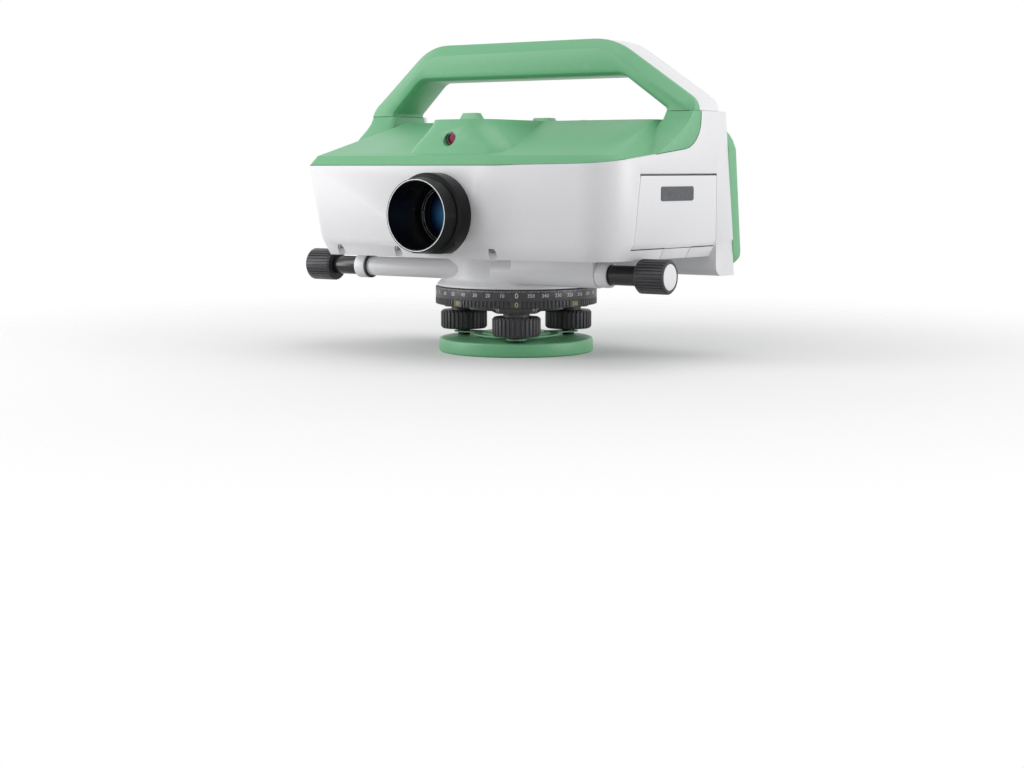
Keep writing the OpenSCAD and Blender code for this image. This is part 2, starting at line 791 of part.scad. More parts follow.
module door_latch() {
    color("whitesmoke") intersection() {
        difference() {
            housing_form(0);
            housing_form(latch_t);
        }
        wall_at() block([-band_in - latch_t, -latch_y - latch_w / 2, z_body0],
                        [2 * door_t, -latch_y + latch_w / 2, z_door0 - door_gap]);
    }
}

module battery() {
    mid = (z_door0 + z_door1 - 2 * barrel_r) / 2;
    y0 = (door_rear - door_front - battery_len) / 2;
    color([0.2, 0.2, 0.22]) wall_at()
        block([-bay_d, y0, mid - battery_h / 2], [-bay_d + battery_t, y0 + battery_len, mid + battery_h / 2]);
}

// Housing screws in recesses of the bottom band
screw_places = [for (x = [-94.5, -39.6, 45.9]) [x, -front_y + band_in - 1]];
screw_r = 1.5;
screw_head_r = 3;
screw_head_h = 3;
screw_sink = 8;
screw_len = 30;
post_r = 6;

module housing_screws() {
    color("dimgray") for (p = screw_places) translate([p[0], p[1], z_body0 + screw_sink]) {
        translate([0, 0, -screw_head_h]) difference() {
            cylinder(r = screw_head_r, h = screw_head_h);
            translate([0, 0, -over]) cylinder(r = screw_r, h = screw_head_h / 2 + over, $fn = 6);
        }
        cylinder(r = screw_r, h = screw_len);
    }
}

// Outer ends of the handle's legs
handle_right = right_wall(bar_y);
handle_left = left_x - 1;
bar_y1 = bar_y + bar_d;
// Reach of a leg's flare to the front
flare_reach = 62;
// Ends of the roof's ridge
ridge_x0 = -112;
ridge_x1 = 120;
// Front sight and rear sight on the telescope's line
sight_w = 18;
front_sight_y = -62;
rear_sight_y = bar_y + 25;
// Hump over the telescope: ends and front of its foot and of its top
hump_foot = [-40, 52];
hump_foot_y = 9;
hump_top = [-27, 26];
hump_top_y = 23;
hump_round = 16;
hump_steps = 8;
// Sighting camera in the hump
camera_r = 5.2;
camera_in = 19;
camera_len = 8;
z_camera = z_seam + 19;
// Place of the round bubble level
level_place = [48, bar_y + 13];
level_d = 9;
// Screws between handle and cover
handle_screw_r = 2;
handle_screw_in = 8;

// Ring of the roof's ridge at height z, moved inwards by d
function ridge_ring(z, d) =
    let (rear = rear_at(z_ridge) + over, bow = 1)
    [for (p = rounded(inset([[ridge_x0, ridge_y], [front_x1, ridge_y - bow], [ridge_x1, ridge_y],
                             [ridge_x1, rear], [ridge_x0, rear], [ridge_x0 - bow, (ridge_y + rear) / 2]], d),
                      inset_radii([8, 60, 12, 6, 6, 30], d))) [p[0], p[1], z]];

// Ring at part t of the way down the flare of a leg between x0 and x1, whose foot is between f0 and f1
function flare_ring(x0, x1, f0, f1, t) =
    let (e = pow(t, 2.2), a = x0 + (f0 - x0) * e, b = x1 + (f1 - x1) * e,
         front = bar_y - flare_reach * pow(t, 1.5), z = z_handle - (z_handle - z_seam) * t)
    [for (p = rounded([[a, front], [b, front], [b, bar_y1], [a, bar_y1]], [6, 6, 1, 1], 3)) [p[0], p[1], z]];

// Flare of a leg down to the cover's edge, kept inside the housing's outline
module leg_flare(x0, x1, f0, f1) {
    steps = 7;
    intersection() {
        skin([for (k = [0:steps]) flare_ring(x0, x1, f0, f1, k / steps)]);
        translate([0, 0, z_seam]) linear_extrude(z_handle) plan_shape();
    }
}

// Ring at part t of the way up the hump, whose sides swell out of the roof
function hump_ring(t) =
    let (e = (1 - cos(180 * t)) / 2, x0 = hump_foot[0] + (hump_top[0] - hump_foot[0]) * e,
         x1 = hump_foot[1] + (hump_top[1] - hump_foot[1]) * e,
         y0 = -front_y + hump_foot_y + (hump_top_y - hump_foot_y) * t, z = z_bevel + (z_ridge - z_bevel) * t)
    [for (p = rounded([[x0, y0], [x1, y0], [x1, 0], [x0, 0]], [hump_round, hump_round, 1, 1], 4))
        [p[0], p[1], z]];

// Sight with sloping sides, w wide and h high, standing on the roof
module sight(y, w, h, d) {
    along_y([[-w / 2, z_ridge - over], [w / 2, z_ridge - over],
             [w / 2, z_ridge], [w / 2 - h * 0.7, z_ridge + h],
             [-w / 2 + h * 0.7, z_ridge + h], [-w / 2, z_ridge]], y, y + d);
}

module top_cover() {
    color("mediumseagreen") difference() {
        intersection() {
            union() {
                skin([ridge_ring(z_ridge, 0), plan_ring(z_bevel, bevel_in, 0), plan_ring(z_seam, 0, 0)]);
                leg_flare(handle_right - leg_w, right_x, handle_right - 2.6 * leg_w, right_x);
                leg_flare(-left_x, -handle_left + leg_w, -left_x, -handle_left + 2 * leg_w);
                skin([for (k = [0:hump_steps]) hump_ring(1 - k / hump_steps)]);
                sight(front_sight_y, sight_w, 5, 7);
                sight(rear_sight_y, sight_w, 3.5, 10);
            }
            before_rear(wall + seat);
        }
        skin([ridge_ring(z_ridge - cover_t, cover_t), plan_ring(z_bevel - cover_t, bevel_in + cover_t, 0),
              plan_ring(z_seam - over, bevel_in + cover_t, 0)]);
        intersection() {
            translate([0, 0, z_seam - over]) linear_extrude(z_handle) difference() {
                plan_shape(-over);
                plan_shape(wall + seat);
            }
            below_cover();
        }
        translate([level_place[0], level_place[1], z_ridge - level_d])
            cylinder(r = level_r + seat, h = 2 * level_d);
        translate([0, 0, z_camera]) bar_y(camera_r + seat, -front_y, -front_y + camera_in + 2 * camera_len);
        for (p = handle_screw_places)
            translate([p[0], p[1], z_handle - handle_screw_in])
                cylinder(r = handle_screw_r + seat, h = 2 * handle_screw_in);
    }
}

handle_screw_places = [for (x = [handle_right - leg_w / 2, -handle_left + leg_w / 2], y = [10, 25])
    [x, bar_y + y]];

module handle_screws() {
    color("silver") for (p = handle_screw_places)
        translate([p[0], p[1], z_handle - handle_screw_in])
            cylinder(r = handle_screw_r, h = 2 * handle_screw_in);
}

// Length of the legs below their seat on the cover, cut off flat
leg_spare = 2;
// Outer and inner lines of the handle, from the right leg over the bar to the left leg
leg_rise = 7;
handle_outer = rounded([[handle_right, z_handle - leg_spare], [handle_right, z_handle + leg_rise],
                        [handle_right - slope_right, z_top], [-handle_left + slope_left, z_top],
                        [-handle_left, z_handle + leg_rise], [-handle_left, z_handle - leg_spare]],
                       [0, 14, 58, 44, 14, 0]);
handle_inner = rounded([[handle_right - leg_w, z_handle - leg_spare], [handle_right - leg_w, z_handle + 2],
                        [handle_right - slope_right + 12, z_loop], [-handle_left + slope_left - 4, z_loop],
                        [-handle_left + leg_w, z_handle + 2],
                        [-handle_left + leg_w, z_handle - leg_spare]],
                       [0, 3, 18, 13, 3, 0]);
// Depth of the green front edge before the white shell
shell_y = horn_y;

// Rise over which the flat grows from a small edge to its full size
flat_rise = 14;
flat_least = 0.25;
// Share of the flat at height z of the handle
function flat_share(z) = flat_least + (1 - flat_least) * max(0, min(1, (z - z_handle) / flat_rise));

// Section of the green grip with the share f of its flat, as distance from the inner line and y
function grip_section(h, f) =
    rounded([[0, bar_y], [h - f * grip_flat_h, bar_y], [h, bar_y + f * grip_flat_d], [h, shell_y],
             [h - shell_t, shell_y], [h - shell_t, bar_y1], [0, bar_y1]],
            [bar_edge, 2 * f, 2 * f, 0, 0, 0, bar_edge], 3);
// Section of the white shell on the handle's outside
function shell_section(h) =
    rounded([[h - shell_t, shell_y], [h, shell_y], [h, bar_y1], [h - shell_t, bar_y1]], [0, 0, 3, 0], 3);

// Section pts placed at step k of the handle
function handle_ring(pts, k) =
    let (d = unit(handle_outer[k] - handle_inner[k]))
    [for (p = pts) [handle_inner[k][0] + d[0] * p[0], p[1], handle_inner[k][1] + d[1] * p[0]]];

// Spare length of both legs
module below_legs() {
    block([-handle_left - leg_w, bar_y - leg_w, z_handle - 2 * leg_spare],
          [handle_right + leg_w, bar_y1 + leg_w, z_handle]);
}

module handle_grip() {
    color("mediumseagreen") difference() {
        skin([for (k = [0:len(handle_outer) - 1])
            let (h = norm(handle_outer[k] - handle_inner[k]))
            handle_ring(grip_section(h, flat_share(handle_outer[k][1])), k)]);
        below_legs();
        for (p = handle_screw_places)
            translate([p[0], p[1], z_handle - over])
                cylinder(r = handle_screw_r + seat, h = handle_screw_in + over);
    }
}

module handle_back() {
    color("whitesmoke") difference() {
        skin([for (k = [0:len(handle_outer) - 1])
            handle_ring(shell_section(norm(handle_outer[k] - handle_inner[k])), k)]);
        below_legs();
    }
}

// Telescope, along Y from the objective to the eyepiece
scope_r = lens_r + tube_wall;
objective_seat_r = hood_r;
hood_floor_t = 4;
bore_r = lens_r - 1.5;
hood_floor = -front_y - hood_out + hood_depth;
lens_seat_y = hood_floor + lens_t;
scope_end = 6;
cell_y = -14;
cell_len = 16;
focus_lens_r = 10;
focus_shaft_r = 4;
frame_y1 = scope_end + 24;
splitter_y = frame_y1 + over;
splitter_size = 14;
eyepiece_y0 = splitter_y + splitter_size + 3;
eyepiece_tube_r = 12;
eyepiece_bore = 9;
ring_y0 = rear_at(z_axis) + panel_t + 3;
ring_y1 = ring_y0 + eyepiece_len;
reticle_t = 1.5;
floor_z = z_body0 + wall;
chassis_t = 5;
chassis_half = 45;
pivot_rise = 18;
pivot_r = 1.5;
// Half width of the compensator's frame, outside and inside
frame_half = 20;
frame_in = 16;
measure_r = 6;
measure_len = 11;

// Place of the telescope's axis
module scope_at() {
    translate([0, 0, z_axis]) children();
}

// Place of the focusing shaft
module focus_at() {
    translate([0, cell_y, z_axis]) children();
}

// Place of the measuring key on the left wall
module measure_at() {
    translate([-left_x, skirt_y - 7, z_axis - 5]) children();
}

module objective_hood() {
    mouth = -front_y - hood_out;
    root = hood_out - hood_collar_len;
    edge = 1.5;
    color([0.05, 0.05, 0.05]) scope_at() difference() {
        union() {
            difference() {
                translate([0, mouth, 0]) rotate([-90, 0, 0]) rotate_extrude($fn = 96)
                    polygon([[0, 0], [hood_r, 0], [hood_r + hood_flare, root], [hood_collar_r - edge, root],
                             [hood_collar_r, root + edge], [hood_collar_r, hood_out], [0, hood_out]]);
                block([-2 * hood_collar_r, mouth + root - over, -2 * hood_collar_r],
                      [2 * hood_collar_r, -front_y + over, -hood_r - hood_flare]);
            }
            bar_y(hood_r, -front_y - over, hood_floor + hood_floor_t, $fn = 96);
        }
        bar_y(hood_r - hood_wall, mouth - over, hood_floor, $fn = 96);
        bar_y(scope_r + seat, hood_floor - over, 0);
    }
}

module telescope_tube() {
    color("dimgray") scope_at() difference() {
        bar_y(scope_r, hood_floor, scope_end);
        bar_y(lens_r + seat, hood_floor - over, lens_seat_y);
        bar_y(bore_r, hood_floor, scope_end + over);
        translate([0, cell_y, 0]) bar_x(focus_shaft_r + free, -scope_r - over, 0);
    }
}

module objective_lens() {
    dome = 60;
    sag = dome - sqrt(dome * dome - lens_r * lens_r);
    steps = 8;
    front = [for (i = [0:steps]) let (r = lens_r * i / steps) [r, dome - sqrt(dome * dome - r * r)]];
    color([0.2, 0.35, 0.75, 0.6]) scope_at()
        translate([0, lens_seat_y - lens_t + over, 0]) rotate([-90, 0, 0])
        rotate_extrude() polygon(concat(front, [[lens_r, max(lens_t - over, sag + 0.5)],
                                                [0, max(lens_t - over, sag + 0.5)]]));
}

module lens_ring() {
    color([0.08, 0.08, 0.08]) scope_at() difference() {
        bar_y(hood_r - hood_wall - free, hood_floor - 3, hood_floor);
        translate([0, hood_floor - 3 - slice_t, 0]) rotate([-90, 0, 0])
            cylinder(r1 = lens_r + over, r2 = bore_r + 0.5, h = 3 + 2 * slice_t);
    }
}

module focus_cell() {
    color([0.2, 0.2, 0.2]) focus_at() difference() {
        bar_y(bore_r - run, -cell_len / 2, cell_len / 2);
        bar_y(focus_lens_r, -cell_len, cell_len);
    }
}

module focus_lens() {
    color([0.6, 0.75, 0.9, 0.6]) focus_at() bar_y(focus_lens_r - seat, -2, 2);
}

module focus_shaft() {
    color("silver") focus_at() bar_x(focus_shaft_r, -left_x - focus_knob_len * 0.7, -bore_r - free);
}

module focus_knob() {
    color([0.1, 0.1, 0.1]) focus_at() translate([-left_x + over, 0, 0]) rotate([0, -90, 0]) difference() {
        ribbed_knob(focus_knob_r, focus_knob_len, knob_ribs);
        translate([0, 0, -over]) cylinder(r = focus_shaft_r + seat, h = focus_knob_len * 0.7 + 2 * over);
    }
}

module compensator_frame() {
    color("gray") scope_at() {
        difference() {
            block([-frame_half, scope_end, -axis_rise + wall + chassis_t + 3], [frame_half, frame_y1, 26]);
            block([-frame_in, scope_end + 3, -14], [frame_in, frame_y1 - 3, 23]);
            bar_y(8, scope_end - over, frame_y1 + over);
        }
        translate([0, (scope_end + frame_y1) / 2, pivot_rise])
            bar_x(pivot_r, -frame_in - over, frame_in + over);
    }
}

module compensator_pendulum() {
    mid = (scope_end + frame_y1) / 2;
    color("goldenrod") scope_at() difference() {
        union() {
            block([-9, mid - 6, -11], [9, mid + 6, pivot_rise]);
            translate([0, mid, pivot_rise]) bar_x(4, -frame_in + swing_gap, frame_in - swing_gap);
        }
        translate([0, mid, pivot_rise]) bar_x(pivot_r + run, -frame_half, frame_half);
        bar_y(6, 0, 2 * frame_y1);
    }
}

module beam_splitter() {
    h = splitter_size / 2;
    color([0.7, 0.8, 0.85, 0.5]) scope_at() block([-h, splitter_y, -h], [h, splitter_y + splitter_size, h]);
}

module line_sensor() {
    h = splitter_size / 2;
    color("darkgreen") scope_at()
        block([-h - 6, splitter_y, h], [h + 6, splitter_y + splitter_size, h + 3]);
}

module eyepiece_tube() {
    color([0.1, 0.1, 0.1]) scope_at() difference() {
        bar_y(eyepiece_tube_r, eyepiece_y0, ring_y1 - 2);
        bar_y(eyepiece_bore, eyepiece_y0 - over, ring_y1);
    }
}

module reticle() {
    color([0.8, 0.85, 0.9, 0.5]) scope_at()
        bar_y(eyepiece_bore - seat, eyepiece_y0, eyepiece_y0 + reticle_t);
}

module eyepiece_lens() {
    color([0.5, 0.6, 0.8, 0.6]) scope_at() bar_y(eyepiece_bore - seat, ring_y1 - 7, ring_y1 - 3);
}

module eyepiece_ring() {
    color([0.1, 0.1, 0.1]) scope_at() translate([0, ring_y0, 0]) rotate([-90, 0, 0]) difference() {
        ribbed_knob(eyepiece_r, eyepiece_len, knob_ribs);
        translate([0, 0, -over]) cylinder(r = eyepiece_tube_r + run, h = eyepiece_len + 2 * over);
    }
}

module chassis() {
    saddle_w = 14;
    color("lightgray") difference() {
        union() {
            block([-chassis_half, -front_y + 22, floor_z],
                  [chassis_half, frame_y1 + 22, floor_z + chassis_t]);
            for (y = [-front_y + 30, cell_y - 34])
                block([-saddle_w, y, floor_z], [saddle_w, y + 12, z_axis - saddle_w]);
            block([-frame_half, scope_end, floor_z], [frame_half, frame_y1, floor_z + chassis_t + 3]);
            block([-splitter_size / 2, splitter_y, floor_z],
                  [splitter_size / 2, splitter_y + splitter_size, z_axis - splitter_size / 2]);
        }
        scope_at() bar_y(scope_r + seat, -front_y, scope_end);
    }
}

// Rear panel's ends
z_panel0 = z_body0 - skirt_h + 6;
z_panel1 = z_panel0 + panel_h;
panel_x0 = -left_x + 1;
panel_x1 = right_x - 2;
// Places across the rear panel
display_x = 24;
keypad_x = -64 - keypad_w / 2;
cursor_r = 12;
power_r = 5;
key_x = -44;
cursor_z = 12;
power_z = -20;
key_rise = 1.5;
key_len = 5;

// Frame on the rear panel's face: y outwards, z up the face, at the telescope's height
module panel_at() {
    translate([0, rear_at(z_axis) + panel_t, z_axis]) rotate([rear_lean, 0, 0]) children();
}

module rear_panel() {
    edge = 8;
    color("mediumseagreen") difference() {
        intersection() {
            along_x([[rear_at(z_panel0), z_panel0], [rear_at(z_panel0) + panel_t - 4, z_panel0],
                     [rear_at(z_panel0 + edge) + panel_t, z_panel0 + edge],
                     [rear_at(z_panel1 - 22) + panel_t, z_panel1 - 22],
                     [rear_at(z_panel1) + 3, z_panel1], [rear_at(z_panel1), z_panel1]], panel_x0, panel_x1);
            along_y(rounded([[panel_x0, z_panel0], [panel_x1, z_panel0],
                             [panel_x1, z_panel1], [panel_x0, z_panel1]],
                            [12, 12, 20, 20]), 0, 2 * rear_y);
        }
        scope_at() bar_y(eyepiece_tube_r + seat, 0, 2 * rear_y);
        panel_at() {
            block([display_x, -4, -display_h / 2], [display_x + display_w, over, display_h / 2]);
            block([keypad_x - keypad_w / 4, -3, -display_h / 2],
                  [keypad_x + keypad_w / 2, over, display_h / 2]);
            translate([key_x, 0, cursor_z]) bar_y(cursor_r + free, -key_len - key_travel, over);
            translate([key_x, 0, power_z]) bar_y(power_r + free, -key_len - key_travel, over);
        }
    }
}

module display() {
    color([0.1, 0.12, 0.15]) panel_at()
        block([display_x + seat, -4, -display_h / 2 + seat],
              [display_x + display_w - seat, -0.5, display_h / 2 - seat]);
}

module keypad() {
    x0 = keypad_x - keypad_w / 4 + seat;
    x1 = keypad_x + keypad_w / 2 - seat;
    pitch_x = (x1 - x0) / 3;
    pitch_z = display_h / 5;
    color([0.25, 0.25, 0.25]) panel_at() {
        block([x0, -3, -display_h / 2 + seat], [x1, -over, display_h / 2 - seat]);
        for (i = [0:2], k = [0:4])
            translate([x0 + pitch_x * (i + 0.5), 0, pitch_z * (k - 2)]) rotate([-90, 0, 0])
                translate([-pitch_x * 0.36, -pitch_z * 0.32, -2])
                    linear_extrude(2 + key_rise) polygon(rounded([[0, 0], [pitch_x * 0.72, 0],
                        [pitch_x * 0.72, pitch_z * 0.64], [0, pitch_z * 0.64]], [2, 2, 2, 2], 3));
    }
}

module cursor_key() {
    color([0.2, 0.2, 0.2]) panel_at() translate([key_x, 0, cursor_z]) bar_y(cursor_r, -key_len, key_rise);
}

module power_key() {
    color("firebrick") panel_at() translate([key_x, 0, power_z]) bar_y(power_r, -key_len, key_rise);
}

module measure_key() {
    color("firebrick") measure_at() bar_x(measure_r, -0.5, measure_len);
}

module level_case() {
    color("gray") translate([level_place[0], level_place[1], z_ridge - level_d]) difference() {
        cylinder(r = level_r, h = level_d);
        translate([0, 0, 3]) cylinder(r = level_r - 1.5, h = level_d);
    }
}

module level_vial() {
    vial_r = level_r - 1.5 - seat;
    color([0.7, 0.9, 0.4, 0.6]) translate([level_place[0], level_place[1], z_ridge - level_d + 3])
        intersection() {
            cylinder(r = vial_r, h = level_d);
            translate([0, 0, level_d - 2 - 30]) sphere(r = 30);
        }
}

module camera_window() {
    color("crimson") translate([0, 0, z_camera])
        bar_y(camera_r, -front_y + camera_in, -front_y + camera_in + camera_len);
}

module main_board() {
    board_t = 1.6;
    board_y = skirt_y + 4;
    board_x1 = right_wall(board_y) - bay_d - 4 * wall;
    color("darkgreen")
        block([chassis_half + wall, board_y, floor_z], [board_x1, board_y + board_t, z_seam - 2 * wall]);
}

base_plate();
foot_spindle_front();
foot_spindle_left();
foot_spindle_right();
foot_knob_front();
foot_knob_left();
foot_knob_right();
spring_plate();
tribrach();
foot_nuts();
axis_bush();
horizontal_circle();
worm_wheel();
vertical_axle();
neck();
drive_tube();
drive_end_rings();
drive_bushes();
drive_shaft();
drive_knob_left();
drive_knob_right();
drive_knob_caps();
chassis();
lower_housing();
top_cover();
handle_grip();
handle_back();
handle_screws();
housing_screws();
battery_door();
door_hinge_pin();
door_latch();
battery();
objective_hood();
objective_lens();
lens_ring();
telescope_tube();
focus_cell();
focus_lens();
focus_shaft();
focus_knob();
compensator_frame();
compensator_pendulum();
beam_splitter();
line_sensor();
reticle();
eyepiece_tube();
eyepiece_ring();
eyepiece_lens();
rear_panel();
display();
keypad();
cursor_key();
power_key();
measure_key();
level_case();
level_vial();
camera_window();
main_board();
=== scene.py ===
"""Looks of an automatic level: its finishes, printed scales and small trim, around its CAD frame.

Every piece is in metres, in the frame of the CAD part: Z is the vertical axis, the objective looks
along -Y, and the origin is under the base plate.
"""

import json
import logging
import math
from dataclasses import dataclass
from enum import Enum
from typing import Any, Callable, Iterable, Optional, Sequence

import bmesh
import bpy
from mathutils import Matrix, Vector


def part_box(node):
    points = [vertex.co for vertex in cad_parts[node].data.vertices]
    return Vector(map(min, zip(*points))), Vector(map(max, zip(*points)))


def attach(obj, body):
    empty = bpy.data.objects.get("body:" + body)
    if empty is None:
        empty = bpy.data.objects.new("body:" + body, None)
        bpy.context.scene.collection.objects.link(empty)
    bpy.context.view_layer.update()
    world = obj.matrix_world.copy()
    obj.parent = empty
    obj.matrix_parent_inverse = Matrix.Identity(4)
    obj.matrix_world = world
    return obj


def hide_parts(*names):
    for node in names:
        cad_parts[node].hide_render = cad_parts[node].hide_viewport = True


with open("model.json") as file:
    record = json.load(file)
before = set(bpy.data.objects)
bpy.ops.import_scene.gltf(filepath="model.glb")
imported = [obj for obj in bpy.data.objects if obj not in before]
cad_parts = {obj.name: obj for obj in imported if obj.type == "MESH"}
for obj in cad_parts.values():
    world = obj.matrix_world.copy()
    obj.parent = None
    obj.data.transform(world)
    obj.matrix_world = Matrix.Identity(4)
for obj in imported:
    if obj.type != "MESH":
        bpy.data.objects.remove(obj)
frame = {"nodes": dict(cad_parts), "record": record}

LOG = logging.getLogger("level")
MM = 0.001
# Start of the materials' names, which sets them apart from the materials of the CAD frame
LOOK = "look_"
# Distance under which points of a CAD mesh are one, and angle in degrees under which its faces are flat
MERGE = 0.02 * MM
FLAT = 0.6
# Thickness of printed marks and digits
INK = 0.06 * MM
# Steps round a small and a large turned piece, and the angle in degrees over which its edges are sharp
SMALL_STEPS = 64
LARGE_STEPS = 128
TURNED_SMOOTH = 35.0

Colour = tuple[float, float, float]
Point = tuple[float, float, float]


def srgb(red: int, green: int, blue: int) -> Colour:
    """Turns a screen colour into the linear colour that shaders use.

    Args:
        red: Red from 0 to 255.
        green: Green from 0 to 255.
        blue: Blue from 0 to 255.

    Returns:
        The linear colour.
    """
    def linear(value: int) -> float:
        """One channel, from 0 to 1."""
        part = value / 255
        return part / 12.92 if part <= 0.04045 else ((part + 0.055) / 1.055) ** 2.4
    return linear(red), linear(green), linear(blue)


def shade(colour: Colour, factor: float) -> Colour:
    """A colour made darker or lighter by a factor."""
    return tuple(min(1.0, channel * factor) for channel in colour)


def height_of(node: str) -> float:
    """Height of the middle of a CAD node."""
    low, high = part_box(node)
    return (low[2] + high[2]) / 2


def half_width(node: str) -> float:
    """Half the width of a CAD node, which is its radius where it is round."""
    low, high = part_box(node)
    return (high[0] - low[0]) / 2


def arithmetic(tree: bpy.types.NodeTree, operation: str, first: Any, second: Any) -> Any:
    """Adds a Math node to a tree.

    Args:
        tree: Tree of a material, the world or a recipe.
        operation: Blender's name of the operation.
        first: First number, or the socket that feeds it.
        second: Second number, or the socket that feeds it.

    Returns:
        The socket with the result.
    """
    node = tree.nodes.new("ShaderNodeMath")
    node.operation = operation
    for socket, value in zip(node.inputs, (first, second)):
        if isinstance(value, bpy.types.NodeSocket):
            tree.links.new(value, socket)
        else:
            socket.default_value = value
    return node.outputs["Value"]


class Body(str, Enum):
    """Bodies that the pieces ride on."""

    BASE = "base"
    FOOT_FRONT = "foot_front"
    FOOT_LEFT = "foot_left"
    FOOT_RIGHT = "foot_right"
    SPRING = "spring"
    LEVELLED = "levelled"
    CIRCLE = "circle"
    ALIDADE = "alidade"
    DRIVE = "drive"
    DOOR = "door"
    LATCH = "latch"
    FOCUS_DRIVE = "focus_drive"
    EYEPIECE = "eyepiece"
    CURSOR = "cursor"
    POWER = "power"
    MEASURE = "measure"


class Shader:
    """A material under construction, on the piece's own Object coordinates."""

    def __init__(self, name: str, **sockets: Any) -> None:
        """Starts a material whose shader has the given constant sockets.

        Args:
            name: Name of the finish.
            sockets: Socket names, with _ for a space, and their values.
        """
        self.material = bpy.data.materials.new(LOOK + name)
        self.material.use_nodes = True
        self.tree = self.material.node_tree
        self.surface = self.tree.nodes["Principled BSDF"]
        self.place = self.tree.nodes.new("ShaderNodeTexCoord").outputs["Object"]
        for key, value in sockets.items():
            self.surface.inputs[key.replace("_", " ")].default_value = value

    def stretch(self, scale: Point) -> Any:
        """Stretches the Object coordinates.

        Args:
            scale: Factor along each axis.

        Returns:
            The socket with the stretched coordinates.
        """
        node = self.tree.nodes.new("ShaderNodeMapping")
        node.inputs["Scale"].default_value = scale
        self.tree.links.new(self.place, node.inputs["Vector"])
        return node.outputs["Vector"]

    def noise(self, scale: float, detail: float = 3.0, place: Any = None) -> Any:
        """Adds cloudy noise.

        Args:
            scale: Number of its features on a metre.
            detail: Number of finer layers.
            place: Socket of the coordinates, or None for the Object coordinates.

        Returns:
            The socket with the noise.
        """
        node = self.tree.nodes.new("ShaderNodeTexNoise")
        node.inputs["Scale"].default_value = scale
        node.inputs["Detail"].default_value = detail
        self.tree.links.new(place or self.place, node.inputs["Vector"])
        return node.outputs["Fac"]

    def axis(self, which: str) -> Any:
        """Picks one of the Object coordinates.

        Args:
            which: X, Y or Z.

        Returns:
            The socket with that coordinate.
        """
        node = self.tree.nodes.new("ShaderNodeSeparateXYZ")
        self.tree.links.new(self.place, node.inputs["Vector"])
        return node.outputs[which]

    def math(self, operation: str, first: Any, second: Any) -> Any:
        """Arithmetic between two sockets or numbers."""
        return arithmetic(self.tree, operation, first, second)

    def reach(self, first: Any, second: Any) -> Any:
        """Distance from an axis, out of the two coordinates across it."""
        squares = [self.math("POWER", value, 2.0) for value in (first, second)]
        return self.math("SQRT", self.math("ADD", *squares), 0.0)

    def span(self, value: Any, start: float, end: float, low: float, high: float,
             smooth: bool = False) -> Any:
        """Moves a value from one span of numbers to another.

        Args:
            value: Socket of the value.
            start: Start of the span that it comes from.
            end: End of that span.
            low: What the start becomes.
            high: What the end becomes.
            smooth: Whether the value eases in and out.

        Returns:
            The socket with the moved value.
        """
        node = self.tree.nodes.new("ShaderNodeMapRange")
        node.interpolation_type = "SMOOTHSTEP" if smooth else "LINEAR"
        for key, number in (("From Min", start), ("From Max", end), ("To Min", low), ("To Max", high)):
            node.inputs[key].default_value = number
        self.tree.links.new(value, node.inputs["Value"])
        return node.outputs["Result"]

    def attribute(self, name: str) -> Any:
        """Reads a number that the mesh carries at its points.

        Args:
            name: Name of the attribute.

        Returns:
            The socket with the number.
        """
        node = self.tree.nodes.new("ShaderNodeAttribute")
        node.attribute_name = name
        return node.outputs["Fac"]

    def blend(self, factor: Any, first: Any, second: Any) -> Any:
        """Mixes two colours.

        Args:
            factor: Socket with the share of the second colour.
            first: First colour or its socket.
            second: Second colour or its socket.

        Returns:
            The socket with the mixed colour.
        """
        node = self.tree.nodes.new("ShaderNodeMix")
        node.data_type = "RGBA"
        self.tree.links.new(factor, node.inputs["Factor"])
        colour_inputs = [socket for socket in node.inputs if socket.type == "RGBA"]
        for socket, value in zip(colour_inputs, (first, second)):
            if isinstance(value, tuple):
                socket.default_value = (*value, 1.0)
            else:
                self.tree.links.new(value, socket)
        return next(socket for socket in node.outputs if socket.type == "RGBA")

    def ramp(self, factor: Any, stops: Sequence[tuple[float, Colour]]) -> Any:
        """Spreads colours along a value.

        Args:
            factor: Socket of the value.
            stops: Place of each colour from 0 to 1, and the colour.

        Returns:
            The socket with the colour.
        """
        node = self.tree.nodes.new("ShaderNodeValToRGB")
        elements = node.color_ramp.elements
        while len(elements) < len(stops):
            elements.new(0.5)
        for element, (at, colour) in zip(elements, stops):
            element.position = at
            element.color = (*colour, 1.0)
        self.tree.links.new(factor, node.inputs["Fac"])
        return node.outputs["Color"]

    def bump(self, height: Any, depth: float, strength: float) -> None:
        """Gives the surface a relief.

        Args:
            height: Socket of the height.
            depth: Depth in metres.
            strength: Strength from 0 to 1.
        """
        node = self.tree.nodes.new("ShaderNodeBump")
        node.inputs["Distance"].default_value = depth
        node.inputs["Strength"].default_value = strength
        self.tree.links.new(height, node.inputs["Height"])
        self.tree.links.new(node.outputs["Normal"], self.surface.inputs["Normal"])

    def set(self, socket: str, value: Any) -> None:
        """Links a value to a socket of the shader."""
        self.tree.links.new(value, self.surface.inputs[socket])


